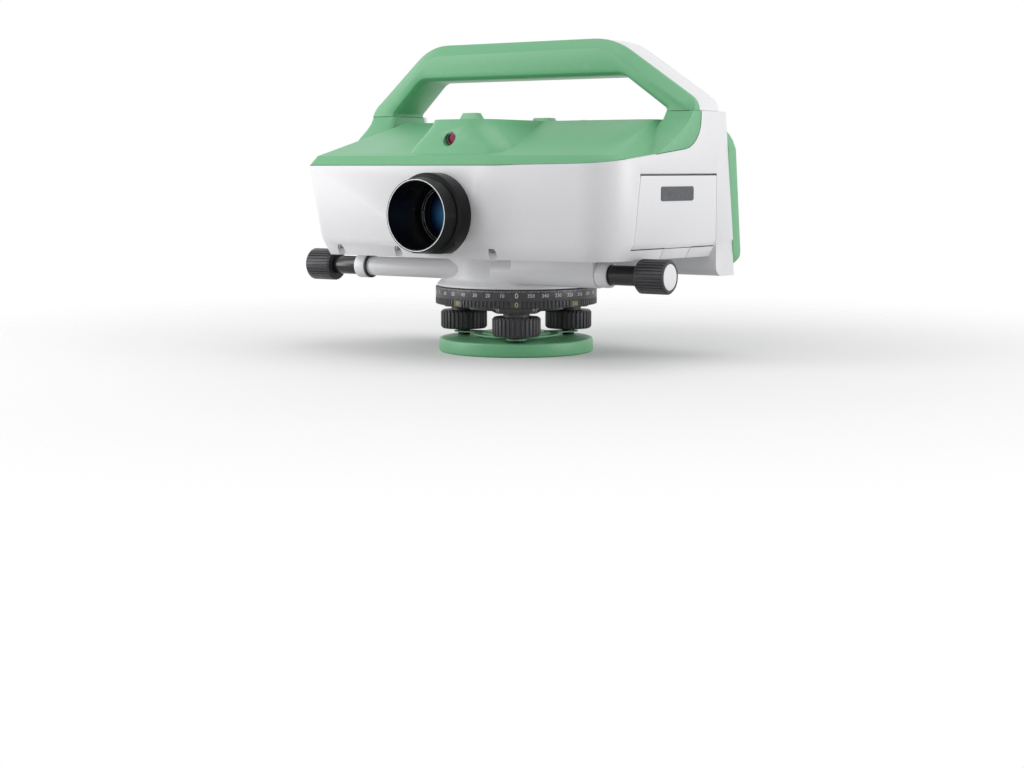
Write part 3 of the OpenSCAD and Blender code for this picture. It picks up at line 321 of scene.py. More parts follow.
@dataclass(frozen=True)
class Paint:
    """Sprayed paint with a fine grain, rubbed a little lighter along the edges.

    Attributes:
        name: Name of the finish.
        colour: Colour of the paint.
        roughness: Mean roughness.
        grain: Scale of the fine grain.
        grain_depth: Depth of the grain.
        rub: Largest share by which an edge is rubbed.
        rub_colour: Colour of a rubbed edge.
        cloud: Scale of the slight changes of tone.
        speck: Scale of the dust specks.
        wear: Scale of the rubbed patches.
    """

    name: str
    colour: Colour
    roughness: float = 0.42
    grain: float = 1500.0
    grain_depth: float = 0.06 * MM
    rub: float = 0.08
    rub_colour: Colour = (0.8, 0.8, 0.78)
    cloud: float = 14.0
    speck: float = 420.0
    wear: float = 160.0

    def material(self) -> bpy.types.Material:
        """Builds the paint.

        Returns:
            The material.
        """
        shader = Shader(self.name, Coat_Weight=0.2, Coat_Roughness=0.4)
        cloud = shader.noise(self.cloud, 4.0)
        tone = shader.blend(shader.span(cloud, 0.3, 0.7, 0.0, 1.0),
                            shade(self.colour, 0.985), shade(self.colour, 1.01))
        dust = shader.span(shader.noise(self.speck, 2.0), 0.6, 0.8, 0.0, 0.12)
        tone = shader.blend(dust, tone, shade(self.colour, 0.8))
        patches = shader.span(shader.noise(self.wear, 5.0), 0.5, 0.75, 0.0, self.rub)
        worn = shader.math("MULTIPLY", shader.attribute("edge"), patches)
        shader.set("Base Color", shader.blend(worn, tone, self.rub_colour))
        shader.set("Roughness", shader.span(cloud, 0.2, 0.8, self.roughness - 0.05, self.roughness + 0.06))
        shader.bump(shader.noise(self.grain, 2.0), self.grain_depth, 0.35)
        return shader.material


@dataclass(frozen=True)
class Moulding:
    """Moulded plastic or rubber, dull in the hollows and polished by hands on its edges, where a painted
    highlight also lightens its colour.

    Attributes:
        name: Name of the finish.
        colour: Colour of the material.
        roughness: Mean roughness.
        polish: Roughness that an edge has lost.
        grain: Scale of the moulded grain.
        shine: Level of the plain reflection.
        grain_depth: Depth of the grain.
        cloud: Scale of the changes of tone.
        wear: Scale of the polished patches, which also carry the painted highlight.
        touch: Scale of the changes of roughness.
    """

    name: str
    colour: Colour
    roughness: float = 0.45
    polish: float = 0.16
    grain: float = 900.0
    shine: float = 0.5
    grain_depth: float = 0.04 * MM
    cloud: float = 60.0
    wear: float = 220.0
    touch: float = 110.0

    def material(self) -> bpy.types.Material:
        """Builds the plastic or rubber.

        Returns:
            The material.
        """
        shader = Shader(self.name, Specular_IOR_Level=self.shine)
        tone = shader.blend(shader.noise(self.cloud, 4.0), shade(self.colour, 0.75), shade(self.colour, 1.3))
        patches = shader.span(shader.noise(self.wear), 0.35, 0.7, 0.1, 0.8)
        edge = shader.math("MULTIPLY", shader.attribute("edge"), patches)
        # Painted highlight: the colour is lighter on the polished edges
        shader.set("Base Color", shader.blend(edge, tone, shade(self.colour, 1.9)))
        rough = shader.span(shader.noise(self.touch), 0.3, 0.7, self.roughness - 0.05, self.roughness + 0.08)
        shader.set("Roughness", shader.math("SUBTRACT", rough, shader.math("MULTIPLY", edge, self.polish)))
        shader.bump(shader.noise(self.grain, 2.0), self.grain_depth, 0.3)
        return shader.material


@dataclass(frozen=True)
class TurnedMetal:
    """Metal with fine turning marks round or along an axis, and a painted highlight along its edges.

    Attributes:
        name: Name of the finish.
        colour: Colour of the metal.
        roughness: Mean roughness.
        stretch: Scale of the turning marks along each axis.
        mark_depth: Depth of the marks.
        stain: Scale of the changes of tone.
        bright: Share by which a painted highlight makes an edge brighter.
    """

    name: str
    colour: Colour
    roughness: float = 0.28
    stretch: Point = (30.0, 30.0, 4000.0)
    mark_depth: float = 0.02 * MM
    stain: float = 80.0
    bright: float = 0.3

    def material(self) -> bpy.types.Material:
        """Builds the metal.

        Returns:
            The material.
        """
        shader = Shader(self.name, Metallic=1.0)
        marks = shader.noise(1.0, 3.0, shader.stretch(self.stretch))
        tone = shader.blend(shader.noise(self.stain, 4.0), shade(self.colour, 0.78), shade(self.colour, 1.08))
        edge = shader.math("MULTIPLY", shader.attribute("edge"), self.bright)
        # Painted highlight along the edges
        shader.set("Base Color", shader.blend(edge, tone, shade(self.colour, 1.5)))
        shader.set("Roughness", shader.span(marks, 0.3, 0.7, self.roughness - 0.08, self.roughness + 0.1))
        shader.bump(marks, self.mark_depth, 0.25)
        return shader.material


@dataclass(frozen=True)
class CoatedGlassPaintedLight:
    """Lens with a coloured coating, darkened towards its rim by painted shade.

    Attributes:
        name: Name of the finish.
        middle: Colour in the middle; on the objective, the coating's colour lightened by a painted
            reflection.
        rim: Colour at the rim, the coating darkened by painted shade.
        axis_z: Height of the lens's axis.
        radius: Distance from the axis at which the rim's colour is reached.
        roughness: Roughness of the coating.
        metallic: Share of a mirror in the coating.
        cloud: Scale of the uneven places in the coating.
        uneven: Distance by which the colours are shifted there.
    """

    name: str
    middle: Colour
    rim: Colour
    axis_z: float
    radius: float
    roughness: float = 0.12
    metallic: float = 0.1
    cloud: float = 40.0
    uneven: float = 1.2 * MM

    def material(self) -> bpy.types.Material:
        """Builds the glass, darkened by painted shade with the distance from the axis.

        Returns:
            The material.
        """
        shader = Shader(self.name, Roughness=self.roughness, Metallic=self.metallic,
                        Coat_Weight=0.15, Coat_Roughness=0.02)
        distance = shader.reach(shader.axis("X"), shader.math("SUBTRACT", shader.axis("Z"), self.axis_z))
        shift = shader.span(shader.noise(self.cloud), 0.0, 1.0, -self.uneven, self.uneven)
        part = shader.span(shader.math("ADD", distance, shift), 0.0, self.radius, 0.0, 1.0)
        # Painted light: the middle's colour, a painted reflection on the objective, fades to painted shade at
        # the rim
        steps = [(0.0, self.middle), (0.3, self.middle), (0.7, shade(self.middle, 0.25)), (1.0, self.rim)]
        shader.set("Base Color", shader.ramp(part, steps))
        return shader.material


@dataclass(frozen=True)
class ClearGlass:
    """Tinted clear glass with faint streaks.

    Attributes:
        name: Name of the finish.
        colour: Tint of the glass.
        roughness: Roughness of the surface.
        streak: Scale of the streaks.
    """

    name: str
    colour: Colour
    roughness: float = 0.02
    streak: float = 120.0

    def material(self) -> bpy.types.Material:
        """Builds the glass.

        Returns:
            The material.
        """
        shader = Shader(self.name, Transmission_Weight=0.85, IOR=1.5, Roughness=self.roughness)
        streak = shader.noise(self.streak, 2.0)
        shader.set("Base Color", shader.blend(streak, shade(self.colour, 0.85), self.colour))
        return shader.material


@dataclass(frozen=True)
class Print:
    """Thin printed ink, a little uneven.

    Attributes:
        name: Name of the finish.
        colour: Colour of the ink.
        grain: Scale of the uneven places.
    """

    name: str
    colour: Colour
    grain: float = 900.0

    def material(self) -> bpy.types.Material:
        """Builds the ink.

        Returns:
            The material.
        """
        shader = Shader(self.name, Roughness=0.5)
        uneven = shader.noise(self.grain)
        shader.set("Base Color", shader.blend(uneven, shade(self.colour, 0.86), self.colour))
        return shader.material


GREEN = srgb(108, 178, 130)
WHITE = srgb(238, 238, 240)
BLACK = srgb(48, 48, 51)
AXIS_Z = height_of("objective_lens")
LENS_R = half_width("objective_lens")
# Radius over which painted shade darkens the camera's window, a little more than its own
CAMERA_SHADE = 6 * MM


class Finish(Enum):
    """The finishes on the instrument, each built once."""

    GREEN_PAINT = Paint("green_paint", GREEN, rub_colour=srgb(190, 222, 204))
    WHITE_PAINT = Paint("white_paint", WHITE, roughness=0.38, grain_depth=0.04 * MM, rub=0.04,
                        rub_colour=srgb(200, 200, 204))
    BLACK_MOULDING = Moulding("black_moulding", BLACK)
    KEY_RUBBER = Moulding("key_rubber", srgb(58, 59, 62), roughness=0.6, polish=0.1)
    RED_KEY = Moulding("red_key", srgb(176, 34, 34), roughness=0.4)
    BLACK_ANODISED = Moulding("black_anodised", srgb(22, 22, 24), roughness=0.22, polish=0.08, grain=2200.0)
    CIRCLE_BLACK = Moulding("circle_black", srgb(46, 46, 49), roughness=0.42, polish=0.1)
    HOOD_BLACK = Moulding("hood_black", srgb(8, 8, 10), roughness=0.35, polish=0.05, shine=0.2)
    HOOD_INSIDE = Moulding("hood_inside", srgb(10, 10, 12), roughness=0.3, polish=0.05, shine=0.3)
    DARK_PLATE = Moulding("dark_plate", srgb(62, 65, 70), roughness=0.35, polish=0.1)
    BATTERY_CASE = Moulding("battery_case", srgb(48, 48, 52), roughness=0.5)
    SCREEN = Moulding("screen", srgb(34, 40, 42), roughness=0.12, polish=0.02, grain=300.0)
    CIRCUIT = Moulding("circuit", srgb(20, 84, 48), roughness=0.35)
    # Painted shadow: the dark colour of the rods and the ring laid in seams, gaps and the drive's groove,
    # where the real shells only have shade
    GAP = Moulding("gap_shadow", srgb(44, 46, 48), roughness=0.8)
    STEEL = TurnedMetal("steel", srgb(196, 197, 200))
    DARK_STEEL = TurnedMetal("dark_steel", srgb(96, 96, 98), roughness=0.35)
    BRASS = TurnedMetal("brass", srgb(206, 170, 96))
    ALUMINIUM = TurnedMetal("aluminium", srgb(208, 209, 212), roughness=0.4)
    # The objective's bright middle is a painted reflection, and each lens and the camera's window darken
    # towards their rims by painted shade
    LENS = CoatedGlassPaintedLight("lens_coating_painted_light", srgb(90, 180, 255), srgb(10, 20, 90), AXIS_Z, LENS_R)
    EYE_GLASS = CoatedGlassPaintedLight("eye_glass", srgb(40, 66, 112), srgb(8, 10, 24), AXIS_Z, LENS_R / 2)
    CAMERA = CoatedGlassPaintedLight("camera_glass", srgb(150, 30, 58), srgb(70, 10, 24),
                         height_of("camera_window"), CAMERA_SHADE)
    VIAL = ClearGlass("vial_glass", srgb(196, 220, 96))
    WHITE_INK = Print("white_ink", srgb(236, 236, 236))
    YELLOW_INK = Print("yellow_ink", srgb(226, 208, 52))

    def material(self) -> bpy.types.Material:
        """The material of this finish, made at its first use."""
        return bpy.data.materials.get(LOOK + self.value.name) or self.value.material()


def settle(piece: bpy.types.Object, body: Body, slot: str,
           finish: Optional[Finish] = None) -> bpy.types.Object:
    """Gives a finished piece its material and body.

    Args:
        piece: Object with its place in its mesh.
        body: Body that it rides on.
        slot: Material slot of the record; not used.
        finish: Finish, where the mesh doesn't carry one yet.

    Returns:
        The piece.
    """
    if finish is not None:
        piece.data.materials.clear()
        piece.data.materials.append(finish.material())
    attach(piece, body.value)
    LOG.info("piece %s rides on %s", piece.name, body.value)
    return piece


def put(name: str, data: bpy.types.ID) -> bpy.types.Object:
    """Puts a mesh, curve, lamp or camera into the scene.

    Args:
        name: Name of the object.
        data: What the object holds.

    Returns:
        The object.
    """
    piece = bpy.data.objects.new(name, data)
    bpy.context.scene.collection.objects.link(piece)
    return piece


def mesh_of(name: str, work: bmesh.types.BMesh) -> bpy.types.Mesh:
    """Turns a finished bmesh into a mesh and frees it.

    Args:
        name: Name of the mesh.
        work: The bmesh.

    Returns:
        The mesh.
    """
    mesh = bpy.data.meshes.new(name)
    work.to_mesh(mesh)
    work.free()
    return mesh


def mark_edges(mesh: bpy.types.Mesh, least: float = 12.0) -> None:
    """Marks the points on rounded edges, where a paint wears and where other finishes get a painted
    highlight.

    Args:
        mesh: Mesh that gets the attribute edge.
        least: Smallest angle in degrees between two faces that counts as an edge.
    """
    work = bmesh.new()
    work.from_mesh(mesh)
    worn = [0.0] * len(work.verts)
    for line in work.edges:
        if len(line.link_faces) == 2 and line.is_convex and line.calc_face_angle(0.0) > math.radians(least):
            for corner in line.verts:
                worn[corner.index] = 1.0
    work.free()
    mesh.attributes.new("edge", "FLOAT", "POINT").data.foreach_set("value", worn)


def shade_smooth(mesh: bpy.types.Mesh, angle: float) -> None:
    """Shades a mesh as one surface, except along its sharp edges, and marks its edges for wear and painted
    highlights.

    Args:
        mesh: The mesh.
        angle: Angle in degrees over which an edge is sharp.
    """
    mesh.polygons.foreach_set("use_smooth", [True] * len(mesh.polygons))
    mesh.set_sharp_from_angle(angle=math.radians(angle))
    mark_edges(mesh)


def plain_mesh(piece: bpy.types.Object) -> bpy.types.Mesh:
    """The mesh of a piece with its modifiers applied."""
    graph = bpy.context.evaluated_depsgraph_get()
    return bpy.data.meshes.new_from_object(piece.evaluated_get(graph), preserve_all_data_layers=True,
                                           depsgraph=graph)


@dataclass(frozen=True)
class Softened:
    """A CAD piece shown with rounded edges.

    Attributes:
        node: CAD node that it stands for.
        body: Body that it rides on.
        slot: Material slot of the record.
        finish: Finish of the surface.
        edge: Width of the rounding in metres.
        smooth: Angle in degrees under which faces shade as one.
        segments: Number of faces across the rounding.
    """

    node: str
    body: Body
    slot: str
    finish: Finish
    edge: float = 0.4 * MM
    smooth: float = 38.0
    segments: int = 3

    def build(self) -> bpy.types.Object:
        """Copies the node's mesh, rounds its edges and puts it in the node's place.

        Returns:
            The finished piece.
        """
        name = self.node + "_soft"
        work = bmesh.new()
        work.from_mesh(frame["nodes"][self.node].data)
        bmesh.ops.remove_doubles(work, verts=work.verts, dist=MERGE)
        bmesh.ops.dissolve_degenerate(work, edges=work.edges, dist=MERGE)
        bmesh.ops.dissolve_limit(work, angle_limit=math.radians(FLAT), verts=work.verts, edges=work.edges)
        rough = put(name, mesh_of(name, work))
        if self.edge > 0:
            bevel = rough.modifiers.new("rounding", "BEVEL")
            bevel.width = self.edge
            bevel.segments = self.segments
            bevel.limit_method = "ANGLE"
            bevel.angle_limit = math.radians(self.smooth)
            bevel.use_clamp_overlap = True
            bevel.miter_outer = "MITER_ARC"
        done = plain_mesh(rough)
        bpy.data.objects.remove(rough)
        done.name = name
        shade_smooth(done, self.smooth)
        piece = settle(put(name, done), self.body, self.slot, self.finish)
        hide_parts(self.node)
        return piece


class Recipe:
    """A Geometry Nodes tree with named inputs, turned into a plain mesh at the end."""

    def __init__(self, name: str) -> None:
        """Starts an empty tree.

        Args:
            name: Name of the tree.
        """
        self.group = bpy.data.node_groups.new(name, "GeometryNodeTree")
        self.group.interface.new_socket("Geometry", in_out="OUTPUT", socket_type="NodeSocketGeometry")
        self.source = self.group.nodes.new("NodeGroupInput")
        self.identifiers: dict[str, str] = {}

    def value(self, name: str, kind: str = "Float") -> Any:
        """Adds a named input.

        Args:
            name: Name of the input.
            kind: Float or Int.

        Returns:
            Its socket inside the tree.
        """
        item = self.group.interface.new_socket(name, in_out="INPUT", socket_type="NodeSocket" + kind)
        self.identifiers[name] = item.identifier
        return self.source.outputs[name]

    def node(self, kind: str, **sockets: Any) -> Any:
        """Adds a node.

        Args:
            kind: Blender's name of the node.
            sockets: Socket names, with _ for a space, and their values or the sockets that feed them.

        Returns:
            The node.
        """
        node = self.group.nodes.new(kind)
        for key, value in sockets.items():
            socket = node.inputs[key.replace("_", " ")]
            if isinstance(value, bpy.types.NodeSocket):
                self.group.links.new(value, socket)
            else:
                socket.default_value = value
        return node

    def math(self, operation: str, first: Any, second: Any) -> Any:
        """Arithmetic between two sockets or numbers."""
        return arithmetic(self.group, operation, first, second)

    def end(self, geometry: Any, finish: Finish) -> None:
        """Closes the tree with real geometry and its material.

        Args:
            geometry: Socket of the geometry.
            finish: Its finish.
        """
        real = self.node("GeometryNodeRealizeInstances", Geometry=geometry)
        dressed = self.node("GeometryNodeSetMaterial", Geometry=real.outputs["Geometry"],
                            Material=finish.material())
        target = self.group.nodes.new("NodeGroupOutput")
        self.group.links.new(dressed.outputs["Geometry"], target.inputs["Geometry"])

    def make(self, name: str, **values: Any) -> bpy.types.Object:
        """Runs the tree with the given inputs.

        Args:
            name: Name of the piece.
            values: Input names, with _ for a space, and their values.

        Returns:
            A piece with a plain mesh.
        """
        carrier = put(name + "_carrier", bpy.data.meshes.new(name + "_carrier"))
        modifier = carrier.modifiers.new("recipe", "NODES")
        modifier.node_group = self.group
        for key, value in values.items():
            modifier[self.identifiers[key.replace("_", " ")]] = value
        mesh = plain_mesh(carrier)
        mesh.name = name
        carrier.modifiers.clear()
        bpy.data.objects.remove(carrier)
        return put(name, mesh)


def ring_of_marks(name: str, finish: Finish) -> Recipe:
    """Recipe for thin upright marks round a drum.

    Args:
        name: Name of the tree.
        finish: Finish of the marks.

    Returns:
        A recipe with the inputs Count, Radius, Height, Length, Width, Depth and Start.
    """
    recipe = Recipe(name)
    count = recipe.value("Count", "Int")
    radius, height = recipe.value("Radius"), recipe.value("Height")
    length, width, depth = recipe.value("Length"), recipe.value("Width"), recipe.value("Depth")
    start = recipe.value("Start")
    size = recipe.node("ShaderNodeCombineXYZ", X=depth, Y=width, Z=length)
    mark = recipe.node("GeometryNodeMeshCube", Size=size.outputs[0])
    points = recipe.node("GeometryNodePoints", Count=count)
    index = recipe.node("GeometryNodeInputIndex")
    step = recipe.math("DIVIDE", math.tau, count)
    turn = recipe.math("ADD", recipe.math("MULTIPLY", index.outputs[0], step), start)
    place = recipe.node("ShaderNodeCombineXYZ",
                        X=recipe.math("MULTIPLY", recipe.math("COSINE", turn, 0.0), radius),
                        Y=recipe.math("MULTIPLY", recipe.math("SINE", turn, 0.0), radius), Z=height)
    recipe.group.links.new(place.outputs[0], points.inputs["Position"])
    facing = recipe.node("ShaderNodeCombineXYZ", X=0.0, Y=0.0, Z=turn)
    copies = recipe.node("GeometryNodeInstanceOnPoints", Points=points.outputs[0],
                         Instance=mark.outputs["Mesh"])
    aim = recipe.node("FunctionNodeEulerToRotation", Euler=facing.outputs[0])
    recipe.group.links.new(aim.outputs[0], copies.inputs["Rotation"])
    recipe.end(copies.outputs["Instances"], finish)
    return recipe


def forwards(y: float, z: float) -> Matrix:
    """Place of a turned piece whose axis lies along the telescope, at a depth and a height."""
    return Matrix.Translation((0.0, y, z)) @ Matrix.Rotation(math.radians(-90), 4, "X")


def lathe(name: str, profile: Sequence[tuple[float, float]], steps: int, place: Matrix) -> bpy.types.Object:
    """Turns a closed profile round the Z axis and moves it to its place.

    Args:
        name: Name of the piece.
        profile: Radius and height of each corner, anticlockwise.
        steps: Number of steps round.
        place: Matrix from the lathe's frame to the part's.

    Returns:
        A closed piece with smooth shading.
    """
    work = bmesh.new()
    rows = []
    for step in range(steps):
        turn = math.tau * step / steps
        across, along = math.cos(turn), math.sin(turn)
        rows.append([work.verts.new(place @ Vector((radius * across, radius * along, height)))
                     for radius, height in profile])
    for row, after in zip(rows, rows[1:] + rows[:1]):
        for k in range(len(profile)):
            n = (k + 1) % len(profile)
            work.faces.new((row[k], after[k], after[n], row[n]))
    bmesh.ops.recalc_face_normals(work, faces=work.faces)
    mesh = mesh_of(name, work)
    shade_smooth(mesh, TURNED_SMOOTH)
    return put(name, mesh)


def lettering(words: str, size: float) -> bpy.types.Mesh:
    """Mesh of a short number, centred on the origin in the XY plane.

    Args:
        words: The digits.
        size: Height of the digits in metres.

    Returns:
        The mesh.
    """
    curve = bpy.data.curves.new("digits", "FONT")
    curve.body = words
    curve.size = size
    curve.align_x = "CENTER"
    curve.align_y = "CENTER"
    curve.extrude = INK / 2
    curve.resolution_u = 3
    carrier = put("digits", curve)
    mesh = plain_mesh(carrier)
    bpy.data.objects.remove(carrier)
    return mesh


def printed(name: str, numbers: Iterable[tuple[str, Callable[[Vector], Vector]]],
            size: float) -> bpy.types.Object:
    """Joins printed numbers into one piece.

    Args:
        name: Name of the piece.
        numbers: The digits and the map from the flat print to its place.
        size: Height of the digits in metres.

    Returns:
        The piece.
    """
    work = bmesh.new()
    for words, place in numbers:
        flat = lettering(words, size)
        first = len(work.verts)
        work.from_mesh(flat)
        work.verts.ensure_lookup_table()
        for vertex in work.verts[first:]:
            vertex.co = place(vertex.co)
        bpy.data.meshes.remove(flat)
    bmesh.ops.recalc_face_normals(work, faces=work.faces)
    return put(name, mesh_of(name, work))


def pads(name: str, places: Iterable[Callable[[Vector], Vector]], width: float, height: float,
         depth: float) -> bpy.types.Object:
    """Smooth curved pads on a drum.

    Args:
        name: Name of the piece.
        places: Map of each pad from a flat print to the drum.
        width: Width of a pad in metres.
        height: Height of a pad in metres.
        depth: Depth behind the drum's face in metres.

    Returns:
        The piece.
    """
    steps = 6
    skin_gap = 0.05 * MM
    section = ((-height / 2, -depth), (-height / 2, -skin_gap), (height / 2, -skin_gap), (height / 2, -depth))
    work = bmesh.new()
    for place in places:
        ends = []
        for k in range(steps + 1):
            x = width * (k / steps - 0.5)
            ends.append([work.verts.new(place(Vector((x, y, z)))) for y, z in section])
        for left, right in zip(ends, ends[1:]):
            for k in range(4):
                work.faces.new((left[k], right[k], right[(k + 1) % 4], left[(k + 1) % 4]))
        work.faces.new(ends[0])
        work.faces.new(ends[-1][::-1])
    bmesh.ops.recalc_face_normals(work, faces=work.faces)
    mesh = mesh_of(name, work)
    mark_edges(mesh)
    return put(name, mesh)


@dataclass
class LevellingBase:
    """Base plate, foot screws, spring plate and tribrach.

    Attributes:
        feet: Places of the foot screws, as in the names of their nodes and bodies.
    """

    feet: tuple[str, ...] = ("front", "left", "right")

    def build(self) -> None:
        """Shows the base with rounded edges."""
        Softened("base_plate", Body.BASE, "green_paint", Finish.GREEN_PAINT, 0.5 * MM).build()
        Softened("spring_plate", Body.SPRING, "steel", Finish.GREEN_PAINT, 0.15 * MM).build()
        Softened("tribrach", Body.LEVELLED, "black_metal", Finish.BLACK_ANODISED, 0.5 * MM).build()
        for foot in self.feet:
            body = Body("foot_" + foot)
            Softened("foot_spindle_" + foot, body, "steel", Finish.BLACK_ANODISED, 0.2 * MM).build()
            Softened("foot_knob_" + foot, body, "black_plastic", Finish.BLACK_MOULDING, 0.3 * MM).build()


@dataclass
class DegreeCircle:
    """Horizontal circle with its degree scale and its 400-part scale.

    Attributes:
        zero: Angle of the zero mark in degrees, over the front foot screw.
        digit: Height of the digits.
        zero_digit: Height of the two zeros.
        drop: Distance from the longest marks to the digits' middle, as a share of the digits' height.
        proud: Height of the print over the drum.
        rim: Distance from the drum's top to the marks.
        pad_width: Width of a smooth pad in the grip.
        pad_height: Height of a pad.
        pad_depth: Depth of a pad behind the drum's face.
        tick_counts: Number of marks of each length.
        tick_lengths: Their lengths.
        tick_widths: Their widths.
        number_step: Step in degrees between the numbers of the degree scale.
        parts: Number of parts of the second scale.
        part_step: Step between its numbers.
    """

    zero: float = -55.5
    digit: float = 3.8 * MM
    zero_digit: float = 5.4 * MM
    drop: float = 0.55
    proud: float = 0.04 * MM
    rim: float = 0.5 * MM
    pad_width: float = 8.0 * MM
    pad_height: float = 4.9 * MM
    pad_depth: float = 1.2 * MM
    tick_counts: tuple[int, ...] = (360, 72, 36)
    tick_lengths: tuple[float, ...] = (0.9 * MM, 1.3 * MM, 1.7 * MM)
    tick_widths: tuple[float, ...] = (0.2 * MM, 0.28 * MM, 0.28 * MM)
    number_step: int = 10
    parts: int = 400
    part_step: int = 50

    def __post_init__(self) -> None:
        """Takes the drum's size from the frame."""
        low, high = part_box("horizontal_circle")
        self.radius = half_width("horizontal_circle") + self.proud
        self.top = high[2] - self.rim
        self.low = low[2]

    def wrap(self, value: float, height: float) -> Callable[[Vector], Vector]:
        """Makes the map from a flat print to the drum.

        Args:
            value: Place of the print's middle on the scale, in degrees.
            height: Height of its middle.

        Returns:
            The map.
        """
        middle = math.radians(self.zero - value)

        def place(point: Vector) -> Vector:
            """Lays one point of the print on the drum.

            Args:
                point: Point of the flat print.

            Returns:
                Its place on the drum.
            """
            turn = middle + point.x / self.radius
            reach = self.radius + point.z
            return Vector((reach * math.cos(turn), reach * math.sin(turn), height + point.y))
        return place

    def build(self) -> None:
        """Shows the drum and prints both scales on it."""
        Softened("horizontal_circle", Body.CIRCLE, "black_metal", Finish.CIRCLE_BLACK, 0.12 * MM).build()
        marks = ring_of_marks("scale_marks", Finish.WHITE_INK)
        for count, length, width in zip(self.tick_counts, self.tick_lengths, self.tick_widths):
            piece = marks.make("scale_marks_%d" % count, Count=count, Radius=self.radius, Length=length,
                               Height=self.top - length / 2, Width=width, Depth=INK,
                               Start=math.radians(self.zero))
            settle(piece, Body.CIRCLE, "black_metal")
        middle = self.top - max(self.tick_lengths) - self.digit * self.drop
        self.numbers("degree_numbers", range(self.number_step, 360, self.number_step), 1.0, middle,
                     Finish.WHITE_INK)
        self.numbers("degree_zero", (0,), 1.0, middle, Finish.WHITE_INK)
        self.part_scale()

    def part_scale(self) -> None:
        """Prints the 400-part scale on smooth pads between the grip's teeth."""
        middle = self.low + self.pad_height / 2
        part = 360 / self.parts
        values = range(0, self.parts, self.part_step)
        outlines = [self.wrap(value * part, middle) for value in values]
        settle(pads("scale_pads", outlines, self.pad_width, self.pad_height, self.pad_depth),
               Body.CIRCLE, "black_metal", Finish.CIRCLE_BLACK)
        self.numbers("part_zero", values[:1], part, middle, Finish.YELLOW_INK)
        self.numbers("part_numbers", values[1:], part, middle, Finish.YELLOW_INK)

    def numbers(self, name: str, values: Iterable[int], part: float, height: float, ink: Finish) -> None:
        """Prints numbers of a scale round the drum, a zero larger than the others.

        Args:
            name: Name of the piece.
            values: The numbers.
            part: Degrees to one part of the scale.
            height: Height of the numbers' middle.
            ink: Finish of the print.
        """
        shown = [(str(value), self.wrap(value * part, height)) for value in values]
        size = self.zero_digit if shown[0][0] == "0" else self.digit
        settle(printed(name, shown, size), Body.CIRCLE, "black_metal", ink)


@dataclass
class Drive:
    """Neck, drive tube and the two drive knobs, with a ring of painted shadow in the groove at the tube's
    end.

    Attributes:
        shadow_width: Width of the dark ring of painted shadow in the groove along the tube.
        shadow_gap: Gap between the shadow ring and the tube.
        shadow_inset: Depth of the shadow ring under the end ring's surface.
        shadow_bulge: Height by which the shadow ring's middle stands out.
        shadow_crest: Place of the bulge, as a share of the width.
    """

    shadow_width: float = 1.4 * MM
    shadow_gap: float = 0.05 * MM
    shadow_inset: float = 0.2 * MM
    shadow_bulge: float = 0.15 * MM
    shadow_crest: float = 0.3

    def build(self) -> None:
        """Shows the neck and the drive with rounded edges."""
        white = ("white_paint", Finish.WHITE_PAINT)
        Softened("neck", Body.ALIDADE, *white, 0.5 * MM).build()
        Softened("drive_tube", Body.ALIDADE, *white, 0.3 * MM).build()
        Softened("drive_end_rings", Body.ALIDADE, *white, 0.8 * MM).build()
        Softened("drive_shaft", Body.DRIVE, "black_metal", Finish.BLACK_ANODISED, 0.3 * MM).build()
        Softened("drive_knob_caps", Body.DRIVE, *white, 0.6 * MM).build()
        for side in ("left", "right"):
            Softened("drive_knob_" + side, Body.DRIVE, "black_plastic", Finish.BLACK_MOULDING,
                     0.25 * MM).build()
        self.groove_shadow()

    def groove_shadow(self) -> None:
        """Adds a dark ring of painted shadow in the groove between the drive tube and its end ring."""
        low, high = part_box("drive_tube")
        ring_low, ring_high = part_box("drive_end_rings")
        inner = (high[2] - low[2]) / 2 + self.shadow_gap
        outer = (ring_high[2] - ring_low[2]) / 2 - self.shadow_inset
        profile = [(inner, 0.0), (outer, 0.0), (outer + self.shadow_bulge, self.shadow_width * self.shadow_crest),
                   (outer, self.shadow_width), (inner, self.shadow_width)]
        end = Matrix.Translation((low[0] + self.shadow_gap, (low[1] + high[1]) / 2, height_of("drive_tube")))
        place = end @ Matrix.Rotation(math.radians(90), 4, "Y")
        settle(lathe("drive_groove_shadow", profile, SMALL_STEPS, place), Body.ALIDADE, "black_plastic", Finish.GAP)


def rod(work: bmesh.types.BMesh, start: Vector, end: Vector, radius: float) -> None:
    """Adds a thin six-sided rod between two points.

    Args:
        work: Bmesh that gets the rod.
        start: One end.
        end: Other end.
        radius: Radius of the rod.
    """
    along = (end - start).to_track_quat("Z", "Y").to_matrix().to_4x4()
    place = Matrix.Translation((start + end) / 2) @ along
    bmesh.ops.create_cone(work, cap_ends=True, segments=6, radius1=radius, radius2=radius,
                          depth=(end - start).length, matrix=place)


def shadow_line(name: str, work: bmesh.types.BMesh, body: Body) -> None:
    """Turns rods into a piece of painted shadow that rides on a body."""
    settle(put(name, mesh_of(name, work)), body, "black_plastic", Finish.GAP)


